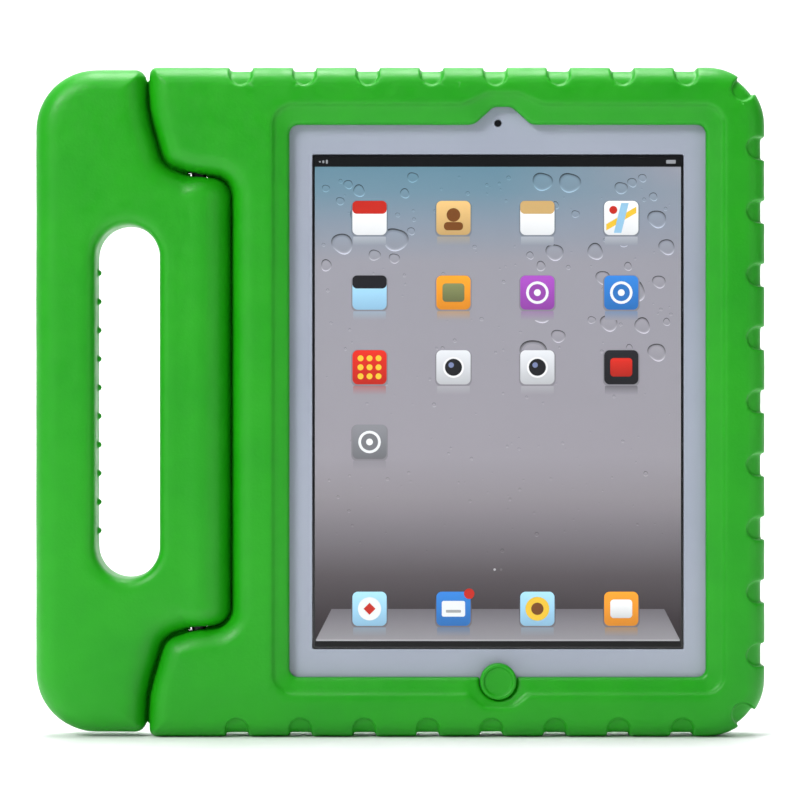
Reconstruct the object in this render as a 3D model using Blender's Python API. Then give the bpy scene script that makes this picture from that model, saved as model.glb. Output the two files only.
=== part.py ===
"""Foam tablet case for children, with a swivelling carrying handle and a tablet in it.

Frame: X runs to the right across the front, Y from the front to the back, Z up.
The origin is under the middle of the case, on the surface that it stands on.
"""

import math

import bmesh
import bpy
from mathutils import Vector
from mathutils.geometry import tessellate_polygon

MM = 0.001
MERGE_DISTANCE = 0.005 * MM
SMOOTH_ANGLE = math.radians(35)
OVERSHOOT = 1.0 * MM
HAIR = 0.01 * MM
SMALLEST_RADIUS = 0.3 * MM

# Case as a whole
WIDTH = 292.4 * MM
HEIGHT = 268.2 * MM
BODY_HALF_DEPTH = 13.5 * MM
MIDDLE_Z = HEIGHT / 2.0
RIGHT_X = WIDTH / 2.0
LEFT_X = -WIDTH / 2.0
BODY_CORNER = 24.0 * MM
BODY_EDGE = 8.5 * MM
EDGE_STEPS = 4

# Hinge and the gap between body and handle
AXIS_X = -80.8 * MM
GAP = 1.4 * MM
GAP_LEFT = AXIS_X - 19.8 * MM
GAP_RIGHT = AXIS_X + 13.2 * MM
GAP_BEND_Z = 117.6 * MM
GAP_BEND_RADIUS = 45.0 * MM
GAP_SHOULDER = (13.6 * MM, 94.6 * MM)
GAP_SHOULDER_RADIUS = 9.0 * MM
GAP_MIDDLE = (2.0 * MM, 90.7 * MM)
GAP_MIDDLE_RADIUS = 25.0 * MM
GAP_CORNER_Z = 89.6 * MM
GAP_CORNER_RADIUS = 7.5 * MM
GAP_END_RADIUS = 4.0 * MM
HANDLE_RELIEF = 1.0 * MM
GAP_CROWN = 0.6 * MM
GAP_CROWN_HALF_DEPTH = 4.5 * MM
GAP_CROWN_FLAT = 0.1 * MM
GAP_CROWN_RIGHT = AXIS_X + 24.0 * MM
GAP_CROWN_INSET = 5.0 * MM

# Handle
HANDLE_HALF_DEPTH = 13.0 * MM
HANDLE_EDGE = 7.0 * MM
HANDLE_CORNER = 25.0 * MM
HANDLE_BOTTOM = 1.5 * MM
HANDLE_TOP = HEIGHT - 0.8 * MM
HANDLE_GAP_RADIUS = 5.0 * MM
TONGUE_END = AXIS_X + 3.0 * MM
TONGUE_RISE = 0.9 * MM
TONGUE_RADIUS = 7.0 * MM
BARREL_RADIUS = 13.1 * MM
BARREL_HALF_LENGTH = 89.2 * MM
BARREL_END_ROUND = 8.3 * MM
BORE_PAST_END = 4.0 * MM
GRIP_LEFT = -121.6 * MM
GRIP_RIGHT = -96.2 * MM
GRIP_HALF_HEIGHT = 70.6 * MM
GRIP_EDGE = 3.5 * MM
NUB_COUNT = 10
NUB_PITCH = 11.5 * MM
NUB_RADIUS = 1.3 * MM
NUB_STAND_OUT = 0.3

# Hinge rod, bushes and sockets
ROD_RADIUS = 3.0 * MM
ROD_HALF_LENGTH = 103.6 * MM
BUSH_BORE = 3.3 * MM
BUSH_RADIUS = 4.6 * MM
BUSH_LENGTH = 12.0 * MM
FLANGE_RADIUS = 6.4 * MM
FLANGE_THICKNESS = 1.0 * MM
SOCKET_LENGTH = 12.4 * MM
SOCKET_MOUTH = 92.0 * MM
SOCKET_CUT_BACK = 4.0 * MM
ROD_CHAMFER = 0.6 * MM
FIT = 0.3 * MM
ROUND_STEPS = 32

# Tablet
TABLET_X = 39.2 * MM
TABLET_HALF_WIDTH = 92.85 * MM
TABLET_HALF_HEIGHT = 120.6 * MM
TABLET_CORNER = 12.0 * MM
TABLET_FRONT = -6.2 * MM
TABLET_BACK = 3.2 * MM
TABLET_WALL = 1.5 * MM
TABLET_EDGE = 3.0 * MM
BEZEL_THICKNESS = 1.0 * MM
BEZEL_INSET = 0.2 * MM
HOUSING_SEAM = 0.1 * MM
DISPLAY_HALF_WIDTH = 74.0 * MM
DISPLAY_HALF_HEIGHT = 98.7 * MM
DISPLAY_THICKNESS = 2.2 * MM
DISPLAY_CORNER = 0.4 * MM
DISPLAY_SEAM = 0.4 * MM
CAMERA_Z = 245.6 * MM
CAMERA_RADIUS = 1.2 * MM
CAMERA_LENGTH = 2.0 * MM
REAR_CAMERA_X = 117.0 * MM
REAR_CAMERA_Z = 240.5 * MM
REAR_CAMERA_RADIUS = 3.6 * MM
REAR_CAMERA_LENGTH = 3.0 * MM
REAR_CAMERA_PROUD = 0.1 * MM

# Pocket, window and step ring in the front of the body
POCKET_CLEARANCE = 0.4 * MM
POCKET_FRONT = TABLET_FRONT - FIT
POCKET_BACK = TABLET_BACK + FIT
WINDOW_LEFT = -44.2 * MM
WINDOW_RIGHT = 122.2 * MM
WINDOW_BOTTOM = 24.0 * MM
WINDOW_TOP = 244.8 * MM
WINDOW_CORNER = 3.5 * MM
WINDOW_LIP_Y = -10.2 * MM
STEP_LEFT = -50.6 * MM
STEP_RIGHT = 129.2 * MM
STEP_BOTTOM = 17.6 * MM
STEP_TOP = 252.4 * MM
STEP_CORNER = 8.0 * MM
STEP_Y = -12.3 * MM
NOTCH_X = 41.0 * MM
NOTCH_TOP = 252.0 * MM
NOTCH_TOP_HALF_WIDTH = 3.5 * MM
NOTCH_TOP_RADIUS = 4.0 * MM
NOTCH_FOOT_HALF_WIDTH = 11.5 * MM
NOTCH_FOOT_RADIUS = 5.0 * MM
BUMP_RISE = 5.0 * MM
BUMP_TOP_HALF_WIDTH = 6.0 * MM
BUMP_TOP_RADIUS = 6.0 * MM
BUMP_FOOT_HALF_WIDTH = 16.0 * MM
BUMP_FOOT_RADIUS = 7.0 * MM
HOME_BUMP_MARGIN = 2.6 * MM
HOME_BUMP_FOOT_HALF_WIDTH = 12.0 * MM
HOME_BUMP_FOOT_RADIUS = 4.0 * MM
CROWN = 0.12 * MM

# Button covers
HOME_X = 39.2 * MM
HOME_Z = 22.5 * MM
HOME_RADIUS = 7.3 * MM
HOME_FRONT = -12.9 * MM
HOME_DISH_DEPTH = 1.0 * MM
HOME_RIM_ROUND = 1.4 * MM
HOME_DISC_SETBACK = 1.2 * MM
HOME_STEM_STEP = 1.0 * MM
HOME_STEM_GAP = 0.4 * MM
HOME_BUTTON_RADIUS = 5.4 * MM
HOME_BUTTON_DISH = 0.2 * MM
HOME_BUTTON_PAST_BEZEL = 0.4 * MM
POWER_X = 101.5 * MM
VOLUME_Z = 222.9 * MM
COVER_CLEARANCE = 0.4 * MM
PAD_Y = -1.5 * MM
PAD_HALF_WIDTH = 3.6 * MM
PAD_HALF_LENGTH = 7.2 * MM
PAD_SETBACK = 0.1 * MM
BUTTON_HALF_WIDTH = 1.6 * MM
BUTTON_HALF_LENGTH = 5.4 * MM
BUTTON_LENGTH = 2.2 * MM
BUTTON_PROUD = 0.3 * MM

# Grooves around the outer edge
GROOVE_WIDTH = 9.0 * MM
GROOVE_REACH = 8.0 * MM
GROOVE_DEPTH = 1.3 * MM
GROOVE_OUTSIDE = 4.0 * MM
GROOVE_PITCH = 25.4 * MM
TOP_GROOVE_START = -63.6 * MM
TOP_GROOVES = 8
BOTTOM_GROOVE_START = -65.1 * MM
BOTTOM_GROOVES = 8
SIDE_GROOVE_START = 33.0 * MM
SIDE_GROOVES = 9
SIDE_GROOVE_PITCH = 25.3 * MM
CORNER_GROOVE_HEADING = math.radians(133)

# Openings in the body for the rear camera and the charging plug
LENS_HOLE_RADIUS = 8.0 * MM
LENS_HOLE_FLARE = 11.0 * MM
LENS_HOLE_FLARE_DEPTH = 4.0 * MM
FLARE_OVERSHOOT = 0.2 * MM
PORT_HALF_WIDTH = 15.0 * MM
PORT_HALF_DEPTH = 3.6 * MM

GREEN_FOAM = ("green_foam", (0.055, 0.42, 0.03), 0.55, 0.0)
DARK_STEEL = ("dark_steel", (0.03, 0.03, 0.03), 0.35, 1.0)
BLACK_NYLON = ("black_nylon", (0.015, 0.015, 0.015), 0.5, 0.0)
ALUMINIUM = ("aluminium", (0.72, 0.73, 0.75), 0.35, 1.0)
WHITE_BEZEL = ("white_bezel", (0.78, 0.79, 0.84), 0.2, 0.0)
DISPLAY_GREY = ("display_grey", (0.2, 0.2, 0.22), 0.1, 0.0)
LENS_BLACK = ("lens_black", (0.005, 0.006, 0.008), 0.05, 0.0)


def clear_scene():
    for obj in list(bpy.data.objects):
        bpy.data.objects.remove(obj, do_unlink=True)


def material(finish):
    """The named material, made the first time that it is asked for."""
    name, colour, roughness, metallic = finish
    found = bpy.data.materials.get(name)
    if found:
        return found
    made = bpy.data.materials.new(name)
    made.use_nodes = True
    shader = made.node_tree.nodes["Principled BSDF"]
    shader.inputs["Base Color"].default_value = (*colour, 1.0)
    shader.inputs["Roughness"].default_value = roughness
    shader.inputs["Metallic"].default_value = metallic
    return made


# Outlines: closed lists of corners (x, z, radius), counter-clockwise from the front


def cross(a, b):
    return a.x * b.y - a.y * b.x


def moved_corner(before, here, after, inset):
    """Where the two edges that meet at a corner meet once both have moved in."""
    into = (here - before).normalized()
    out = (after - here).normalized()
    into_normal = Vector((-into.y, into.x))
    turn = cross(into, out)
    if abs(turn) < 1e-6:
        return here + into_normal * inset
    out_normal = Vector((-out.y, out.x))
    start = here + into_normal * inset
    other = here + out_normal * inset
    return start + into * (cross(other - start, out) / turn)


def rounded(corners, inset=0.0, steps=4):
    """The outline's points with its corners rounded, moved in by inset."""
    places = [Vector((x, z)) for x, z, _ in corners]
    count = len(places)
    moved = [
        moved_corner(places[i - 1], places[i], places[(i + 1) % count], inset) for i in range(count)
    ]
    points = []
    for i in range(count):
        into = (places[i] - places[i - 1]).normalized()
        out = (places[(i + 1) % count] - places[i]).normalized()
        turn = math.atan2(cross(into, out), into.dot(out))
        side = math.copysign(1.0, turn)
        radius = max(corners[i][2] - side * inset, SMALLEST_RADIUS)
        centre = moved[i] + (Vector((-into.y, into.x)) * side - into * math.tan(abs(turn) / 2)) * radius
        parts = max(2, round(steps * abs(turn) / (math.pi / 2)))
        spoke = Vector((into.y, -into.x)) * side * radius
        for k in range(parts + 1):
            angle = turn * k / parts
            c, s = math.cos(angle), math.sin(angle)
            points.append((centre.x + spoke.x * c - spoke.y * s, centre.y + spoke.x * s + spoke.y * c))
    return points


def box_corners(left, right, bottom, top, radius):
    return [(left, bottom, radius), (right, bottom, radius), (right, top, radius), (left, top, radius)]


def gap_path(relief=0.0):
    """The gap's upper half, from the top of the case down to the hinge barrel's corner."""
    shoulder_x, shoulder_z = GAP_SHOULDER
    middle_x, middle_z = GAP_MIDDLE
    return [
        (GAP_LEFT, MIDDLE_Z + GAP_BEND_Z, GAP_BEND_RADIUS),
        (AXIS_X - shoulder_x - relief, MIDDLE_Z + shoulder_z - relief, GAP_SHOULDER_RADIUS),
        (AXIS_X - middle_x, MIDDLE_Z + middle_z - relief / 2, GAP_MIDDLE_RADIUS),
    ]


def mirrored(corners):
    """The same corners below the middle, in the order that keeps the outline going round."""
    return [(x, 2 * MIDDLE_Z - z, radius) for x, z, radius in reversed(corners)]


def notch_corners():
    """The body's side of the whole gap, from the top of the case down to its bottom."""
    upper = gap_path() + [(GAP_RIGHT, MIDDLE_Z + GAP_CORNER_Z, GAP_CORNER_RADIUS)]
    return upper + mirrored(upper)


def body_corners():
    half = GAP / 2
    outside = [
        (GAP_LEFT, -half, GAP_END_RADIUS),
        (RIGHT_X + half, -half, BODY_CORNER),
        (RIGHT_X + half, HEIGHT + half, BODY_CORNER),
        (GAP_LEFT, HEIGHT + half, GAP_END_RADIUS),
    ]
    return outside + notch_corners()


def crown_corners():
    """A band along the gap, inside the body except where it bulges into the gap."""
    outside = [
        (GAP_LEFT, GAP_CROWN_INSET, GAP_END_RADIUS),
        (GAP_CROWN_RIGHT, GAP_CROWN_INSET, GAP_END_RADIUS),
        (GAP_CROWN_RIGHT, HEIGHT - GAP_CROWN_INSET, GAP_END_RADIUS),
        (GAP_LEFT, HEIGHT - GAP_CROWN_INSET, GAP_END_RADIUS),
    ]
    return outside + notch_corners()


def handle_corners():
    tongue_tip = (TONGUE_END, MIDDLE_Z + GAP_CORNER_Z + TONGUE_RISE, TONGUE_RADIUS)
    rising = [tongue_tip] + gap_path(HANDLE_RELIEF)[::-1]
    left, bottom, top = LEFT_X - GAP / 2, HANDLE_BOTTOM - GAP / 2, HANDLE_TOP + GAP / 2
    lower = [(left, bottom, HANDLE_CORNER), (GAP_LEFT, bottom, HANDLE_GAP_RADIUS)]
    upper = [(GAP_LEFT, top, HANDLE_GAP_RADIUS), (left, top, HANDLE_CORNER)]
    return lower + mirrored(rising) + rising + upper


def grip_corners():
    radius = (GRIP_RIGHT - GRIP_LEFT) / 2 - HAIR
    bottom, top = MIDDLE_Z - GRIP_HALF_HEIGHT, MIDDLE_Z + GRIP_HALF_HEIGHT
    return box_corners(GRIP_LEFT, GRIP_RIGHT, bottom, top, radius)


def window_corners():
    foot, top = NOTCH_FOOT_HALF_WIDTH, NOTCH_TOP_HALF_WIDTH
    return [
        (WINDOW_LEFT, WINDOW_BOTTOM, WINDOW_CORNER),
        (WINDOW_RIGHT, WINDOW_BOTTOM, WINDOW_CORNER),
        (WINDOW_RIGHT, WINDOW_TOP, WINDOW_CORNER),
        (NOTCH_X + foot, WINDOW_TOP + CROWN, NOTCH_FOOT_RADIUS),
        (NOTCH_X + top, NOTCH_TOP, NOTCH_TOP_RADIUS),
        (NOTCH_X - top, NOTCH_TOP, NOTCH_TOP_RADIUS),
        (NOTCH_X - foot, WINDOW_TOP + CROWN, NOTCH_FOOT_RADIUS),
        (WINDOW_LEFT, WINDOW_TOP, WINDOW_CORNER),
    ]


def step_corners():
    """The ring around the window where the front face steps down."""
    bump_top = NOTCH_TOP + BUMP_RISE
    button_bottom = HOME_Z - HOME_RADIUS - HOME_BUMP_MARGIN
    home_foot = HOME_BUMP_FOOT_HALF_WIDTH
    return [
        (STEP_LEFT, STEP_BOTTOM, STEP_CORNER),
        (HOME_X - home_foot, STEP_BOTTOM - CROWN, HOME_BUMP_FOOT_RADIUS),
        (HOME_X - BUMP_TOP_HALF_WIDTH, button_bottom, BUMP_TOP_RADIUS),
        (HOME_X + BUMP_TOP_HALF_WIDTH, button_bottom, BUMP_TOP_RADIUS),
        (HOME_X + home_foot, STEP_BOTTOM - CROWN, HOME_BUMP_FOOT_RADIUS),
        (STEP_RIGHT, STEP_BOTTOM, STEP_CORNER),
        (STEP_RIGHT, STEP_TOP, STEP_CORNER),
        (NOTCH_X + BUMP_FOOT_HALF_WIDTH, STEP_TOP + CROWN, BUMP_FOOT_RADIUS),
        (NOTCH_X + BUMP_TOP_HALF_WIDTH, bump_top, BUMP_TOP_RADIUS),
        (NOTCH_X - BUMP_TOP_HALF_WIDTH, bump_top, BUMP_TOP_RADIUS),
        (NOTCH_X - BUMP_FOOT_HALF_WIDTH, STEP_TOP + CROWN, BUMP_FOOT_RADIUS),
        (STEP_LEFT, STEP_TOP, STEP_CORNER),
    ]


def tablet_corners(grow=0.0):
    return box_corners(
        TABLET_X - TABLET_HALF_WIDTH - grow,
        TABLET_X + TABLET_HALF_WIDTH + grow,
        MIDDLE_Z - TABLET_HALF_HEIGHT - grow,
        MIDDLE_Z + TABLET_HALF_HEIGHT + grow,
        TABLET_CORNER + grow,
    )


def display_corners(grow=0.0):
    return box_corners(
        TABLET_X - DISPLAY_HALF_WIDTH - grow,
        TABLET_X + DISPLAY_HALF_WIDTH + grow,
        MIDDLE_Z - DISPLAY_HALF_HEIGHT - grow,
        MIDDLE_Z + DISPLAY_HALF_HEIGHT + grow,
        DISPLAY_CORNER + grow,
    )


# Solids from outlines


def add_loop(bm, points, y):
    return [bm.verts.new((x, y, z)) for x, z in points]


def add_wall(bm, first, second):
    """Quads between two loops with the same number of points."""
    count = len(first)
    for i in range(count):
        j = (i + 1) % count
        bm.faces.new((first[i], first[j], second[j], second[i]))


def add_cap(bm, loops):
    """Triangles that fill the first loop around the others, seen from the front."""
    verts = [vert for loop in loops for vert in loop]
    flat = [[Vector((vert.co.x, vert.co.z, 0.0)) for vert in loop] for loop in loops]
    for a, b, c in tessellate_polygon(flat):
        bm.faces.new((verts[a], verts[b], verts[c]))


def finish_object(name, bm, finish):
    """The mesh as a named object with its normals facing out and its material."""
    bmesh.ops.remove_doubles(bm, verts=bm.verts, dist=MERGE_DISTANCE)
    bmesh.ops.recalc_face_normals(bm, faces=bm.faces)
    mesh = bpy.data.meshes.new(name)
    bm.to_mesh(mesh)
    bm.free()
    mesh.shade_smooth()
    mesh.set_sharp_from_angle(angle=SMOOTH_ANGLE)
    obj = bpy.data.objects.new(name, mesh)
    bpy.context.scene.collection.objects.link(obj)
    mesh.materials.append(material(finish))
    return obj


def edge_levels(half_depth, edge):
    """(y, inset) from the front face round the front edge to the back face."""
    angles = [math.pi / 2 * (1 - k / EDGE_STEPS) for k in range(EDGE_STEPS + 1)]
    front = [
        (-(half_depth - edge + edge * math.sin(angle)), edge * (1 - math.cos(angle))) for angle in angles
    ]
    return front + [(0.0, 0.0)] + [(-y, inset) for y, inset in reversed(front)]


def slab(name, corners, half_depth, edge, finish, inset=0.0, hole=None, hole_edge=0.0):
    """A thick plate with a rounded edge all round, and with one hole if it has a hole outline."""
    bm = bmesh.new()
    outer = [add_loop(bm, rounded(corners, inset + step), y) for y, step in edge_levels(half_depth, edge)]
    rings = [outer]
    if hole:
        rings.append(
            [add_loop(bm, rounded(hole, -step), y) for y, step in edge_levels(half_depth, hole_edge)]
        )
    for ring in rings:
        for first, second in zip(ring, ring[1:]):
            add_wall(bm, first, second)
    for end in (0, -1):
        add_cap(bm, [ring[end] for ring in rings])
    return finish_object(name, bm, finish)


def prism(name, corners, front, back, finish, steps=4):
    """A plate with square edges between two depths."""
    bm = bmesh.new()
    loops = [add_loop(bm, rounded(corners, steps=steps), y) for y in (front, back)]
    add_wall(bm, *loops)
    for loop in loops:
        add_cap(bm, [loop])
    return finish_object(name, bm, finish)


def turned(name, profile, finish, centre, axis="Z", closed=False, steps=ROUND_STEPS):
    """A profile of (radius, height) turned about an axis through centre."""
    bm = bmesh.new()
    rings = []
    for radius, height in profile:
        count = steps if radius > 0 else 1
        ring = []
        for k in range(count):
            angle = 2 * math.pi * k / steps
            u, v = radius * math.cos(angle), radius * math.sin(angle)
            offset = {"X": (height, u, v), "Y": (u, height, v), "Z": (u, v, height)}[axis]
            ring.append(bm.verts.new(offset))
        rings.append(ring)
    pairs = list(zip(rings, rings[1:]))
    if closed:
        pairs.append((rings[-1], rings[0]))
    for first, second in pairs:
        if len(first) == len(second) == 1:
            continue
        for k in range(steps):
            j = (k + 1) % steps
            corners = [
                first[k % len(first)],
                first[j % len(first)],
                second[j % len(second)],
                second[k % len(second)],
            ]
            bm.faces.new(list(dict.fromkeys(corners)))
    obj = finish_object(name, bm, finish)
    obj.location = centre
    return obj


def stadium(name, centre, half_length, half_width, start, end, along, finish):
    """A bar with round sides that runs from start to end along Z or X, wider across than deep."""
    bm = bmesh.new()
    corners = box_corners(-half_length, half_length, -half_width, half_width, half_width - HAIR)
    outline = rounded(corners, steps=5)
    loops = []
    for place in (start, end):
        if along == "Z":
            loops.append([bm.verts.new((u, v, place)) for u, v in outline])
        else:
            loops.append([bm.verts.new((place, v, u)) for u, v in outline])
    add_wall(bm, *loops)
    for loop in loops:
        bm.faces.new(loop)
    obj = finish_object(name, bm, finish)
    obj.location = centre
    return obj


def boolean(target, tool, operation):
    """Cuts target with tool, or joins tool to it. The tool stays as a hidden guide."""
    modifier = target.modifiers.new(operation.lower() + "_" + tool.name, "BOOLEAN")
    modifier.operation = operation
    modifier.solver = "EXACT"
    modifier.object = tool
    tool.hide_render = True
    tool.display_type = "WIRE"


# Body


def groove_footprints():
    """The place and the inward direction of every groove on the outer edge."""
    places = []
    for k in range(TOP_GROOVES):
        places.append((TOP_GROOVE_START + k * GROOVE_PITCH, HEIGHT, -math.pi / 2))
    for k in range(BOTTOM_GROOVES):
        places.append((BOTTOM_GROOVE_START + k * GROOVE_PITCH, 0.0, math.pi / 2))
    for k in range(SIDE_GROOVES):
        places.append((RIGHT_X, SIDE_GROOVE_START + k * SIDE_GROOVE_PITCH, math.pi))
    corner = BODY_CORNER * (1 - math.sqrt(0.5))
    places.append((RIGHT_X - corner, HEIGHT - corner, -CORNER_GROOVE_HEADING))
    places.append((RIGHT_X - corner, corner, CORNER_GROOVE_HEADING))
    return places


def groove_cutter():
    """One upright bar for each groove, with a round inner end."""
    bm = bmesh.new()
    half = GROOVE_WIDTH / 2
    through = BODY_HALF_DEPTH + OVERSHOOT
    outline = [(-GROOVE_OUTSIDE, -half), (GROOVE_REACH - half, -half)]
    for k in range(1, 6):
        angle = -math.pi / 2 + math.pi * k / 6
        outline.append((GROOVE_REACH - half + half * math.cos(angle), half * math.sin(angle)))
    outline += [(GROOVE_REACH - half, half), (-GROOVE_OUTSIDE, half)]
    for x, z, heading in groove_footprints():
        c, s = math.cos(heading), math.sin(heading)
        points = [(x + u * c - v * s, z + u * s + v * c) for u, v in outline]
        loops = [add_loop(bm, points, y) for y in (-through, through)]
        add_wall(bm, *loops)
        for loop in loops:
            add_cap(bm, [loop])
    return finish_object("groove_cutter", bm, GREEN_FOAM)


def pocket_cutter():
    """The space in the body: the stepped window at the front and the tablet's pocket behind it."""
    bm = bmesh.new()
    step = rounded(step_corners())
    window = rounded(window_corners())
    pocket = rounded(tablet_corners(POCKET_CLEARANCE))
    front = add_loop(bm, step, -BODY_HALF_DEPTH - OVERSHOOT)
    ledge = add_loop(bm, step, STEP_Y)
    lip = add_loop(bm, window, WINDOW_LIP_Y)
    inside = add_loop(bm, window, POCKET_FRONT)
    pocket_front = add_loop(bm, pocket, POCKET_FRONT)
    pocket_back = add_loop(bm, pocket, POCKET_BACK)
    add_cap(bm, [front])
    add_wall(bm, front, ledge)
    add_cap(bm, [ledge, lip])
    add_wall(bm, lip, inside)
    add_cap(bm, [pocket_front, inside])
    add_wall(bm, pocket_front, pocket_back)
    add_cap(bm, [pocket_back])
    return finish_object("pocket_cutter", bm, GREEN_FOAM)


def cylinder(name, radius, low, high, finish, centre, axis="Z"):
    return turned(name, [(0, low), (radius, low), (radius, high), (0, high)], finish, centre, axis)


def bore(target, name, radius, low, high, centre, axis):
    """Cuts a round hole through target."""
    boolean(target, cylinder(name, radius, low, high, GREEN_FOAM, centre, axis), "DIFFERENCE")


def build_shell():
    """The body's outside: a plate with grooves of limited depth and a bulge into the gap."""
    inset = GAP / 2
    body = slab("case_body", body_corners(), BODY_HALF_DEPTH, BODY_EDGE, GREEN_FOAM, inset)
    boolean(body, groove_cutter(), "DIFFERENCE")
    core_depth, core_edge = BODY_HALF_DEPTH - GROOVE_DEPTH, BODY_EDGE - GROOVE_DEPTH
    core = slab("groove_floor", body_corners(), core_depth, core_edge, GREEN_FOAM, inset + GROOVE_DEPTH)
    boolean(body, core, "UNION")
    crown_edge = GAP_CROWN_HALF_DEPTH - GAP_CROWN_FLAT
    crown = slab(
        "gap_crown", crown_corners(), GAP_CROWN_HALF_DEPTH, crown_edge, GREEN_FOAM, inset - GAP_CROWN
    )
    boolean(body, crown, "UNION")
    return body


def cut_hinge_seats(body):
    """One blind hole in each ear for the socket that holds the rod's end."""
    mouth, end = SOCKET_MOUTH - SOCKET_CUT_BACK, SOCKET_MOUTH + SOCKET_LENGTH + FIT
    centre = (AXIS_X, 0, MIDDLE_Z)
    bore(body, "socket_hole_upper", BUSH_RADIUS + FIT, mouth, end, centre, "Z")
    bore(body, "socket_hole_lower", BUSH_RADIUS + FIT, -end, -mouth, centre, "Z")


def cut_lens_hole(body):
    """The rear camera's hole, flared towards the back."""
    inside, outside = POCKET_BACK - OVERSHOOT, BODY_HALF_DEPTH + FLARE_OVERSHOOT
    profile = [
        (0, inside),
        (LENS_HOLE_RADIUS, inside),
        (LENS_HOLE_RADIUS, BODY_HALF_DEPTH - LENS_HOLE_FLARE_DEPTH),
        (LENS_HOLE_FLARE, outside),
        (0, outside),
    ]
    hole = turned("lens_hole", profile, GREEN_FOAM, (REAR_CAMERA_X, 0, REAR_CAMERA_Z), "Y")
    boolean(body, hole, "DIFFERENCE")


def cut_edge_holes(body):
    """The charging port at the bottom, and the holes for the covers of the edge buttons."""
    bottom, top = MIDDLE_Z - TABLET_HALF_HEIGHT, MIDDLE_Z + TABLET_HALF_HEIGHT
    side = TABLET_X + TABLET_HALF_WIDTH
    length, width = PAD_HALF_LENGTH + COVER_CLEARANCE, PAD_HALF_WIDTH + COVER_CLEARANCE
    holes = [
        stadium(
            "port_hole", (TABLET_X, PAD_Y, 0), PORT_HALF_WIDTH, PORT_HALF_DEPTH,
            -OVERSHOOT, bottom + OVERSHOOT, "Z", GREEN_FOAM,
        ),
        stadium(
            "power_hole", (POWER_X, PAD_Y, 0), length, width,
            top - OVERSHOOT, HEIGHT + OVERSHOOT, "Z", GREEN_FOAM,
        ),
        stadium(
            "volume_hole", (0, PAD_Y, VOLUME_Z), length, width,
            side - OVERSHOOT, RIGHT_X + OVERSHOOT, "X", GREEN_FOAM,
        ),
    ]
    for hole in holes:
        boolean(body, hole, "DIFFERENCE")


def build_body():
    body = build_shell()
    boolean(body, pocket_cutter(), "DIFFERENCE")
    front, back = -BODY_HALF_DEPTH - OVERSHOOT, POCKET_FRONT + OVERSHOOT
    bore(body, "home_hole", HOME_RADIUS + COVER_CLEARANCE, front, back, (HOME_X, 0, HOME_Z), "Y")
    cut_hinge_seats(body)
    cut_lens_hole(body)
    cut_edge_holes(body)


# Handle and hinge


def barrel_profile():
    """The barrel's outline from its lower end to its upper end, with rounded rims."""
    centre_radius = BARREL_RADIUS - BARREL_END_ROUND
    centre_height = BARREL_HALF_LENGTH - BARREL_END_ROUND
    rim = []
    for k in range(5):
        angle = math.pi / 2 * k / 4
        rim.append(
            (
                centre_radius + BARREL_END_ROUND * math.cos(angle),
                centre_height + BARREL_END_ROUND * math.sin(angle),
            )
        )
    lower = [(radius, -height) for radius, height in reversed(rim)]
    return [(0, -BARREL_HALF_LENGTH)] + lower + rim + [(0, BARREL_HALF_LENGTH)]


def bore_profile():
    """The barrel's bore, wider at both ends for the bushes and their flanges."""
    flange_seat = BARREL_HALF_LENGTH - FLANGE_THICKNESS - FIT
    bush_seat = BARREL_HALF_LENGTH - BUSH_LENGTH - FIT
    past = BARREL_HALF_LENGTH + BORE_PAST_END
    upper = [
        (BUSH_BORE, bush_seat),
        (BUSH_RADIUS + FIT, bush_seat),
        (BUSH_RADIUS + FIT, flange_seat),
        (FLANGE_RADIUS + FIT, flange_seat),
        (FLANGE_RADIUS + FIT, past),
        (0, past),
    ]
    return [(radius, -height) for radius, height in reversed(upper)] + upper


def nub_cluster():
    """The row of small round nubs down the wall of the grip where the fingers close."""
    bm = bmesh.new()
    first = MIDDLE_Z - NUB_PITCH * (NUB_COUNT - 1) / 2
    for k in range(NUB_COUNT):
        made = bmesh.ops.create_icosphere(bm, subdivisions=2, radius=NUB_RADIUS)
        place = (GRIP_LEFT + NUB_RADIUS * NUB_STAND_OUT, 0, first + k * NUB_PITCH)
        bmesh.ops.translate(bm, verts=made["verts"], vec=place)
    return finish_object("grip_nubs", bm, GREEN_FOAM)


def build_handle():
    handle = slab(
        "handle", handle_corners(), HANDLE_HALF_DEPTH, HANDLE_EDGE, GREEN_FOAM,
        inset=GAP / 2, hole=grip_corners(), hole_edge=GRIP_EDGE,
    )
    boolean(handle, nub_cluster(), "UNION")
    axis = (AXIS_X, 0, MIDDLE_Z)
    boolean(handle, turned("barrel", barrel_profile(), GREEN_FOAM, axis, steps=40), "UNION")
    boolean(handle, turned("barrel_bore", bore_profile(), GREEN_FOAM, axis), "DIFFERENCE")


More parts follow.
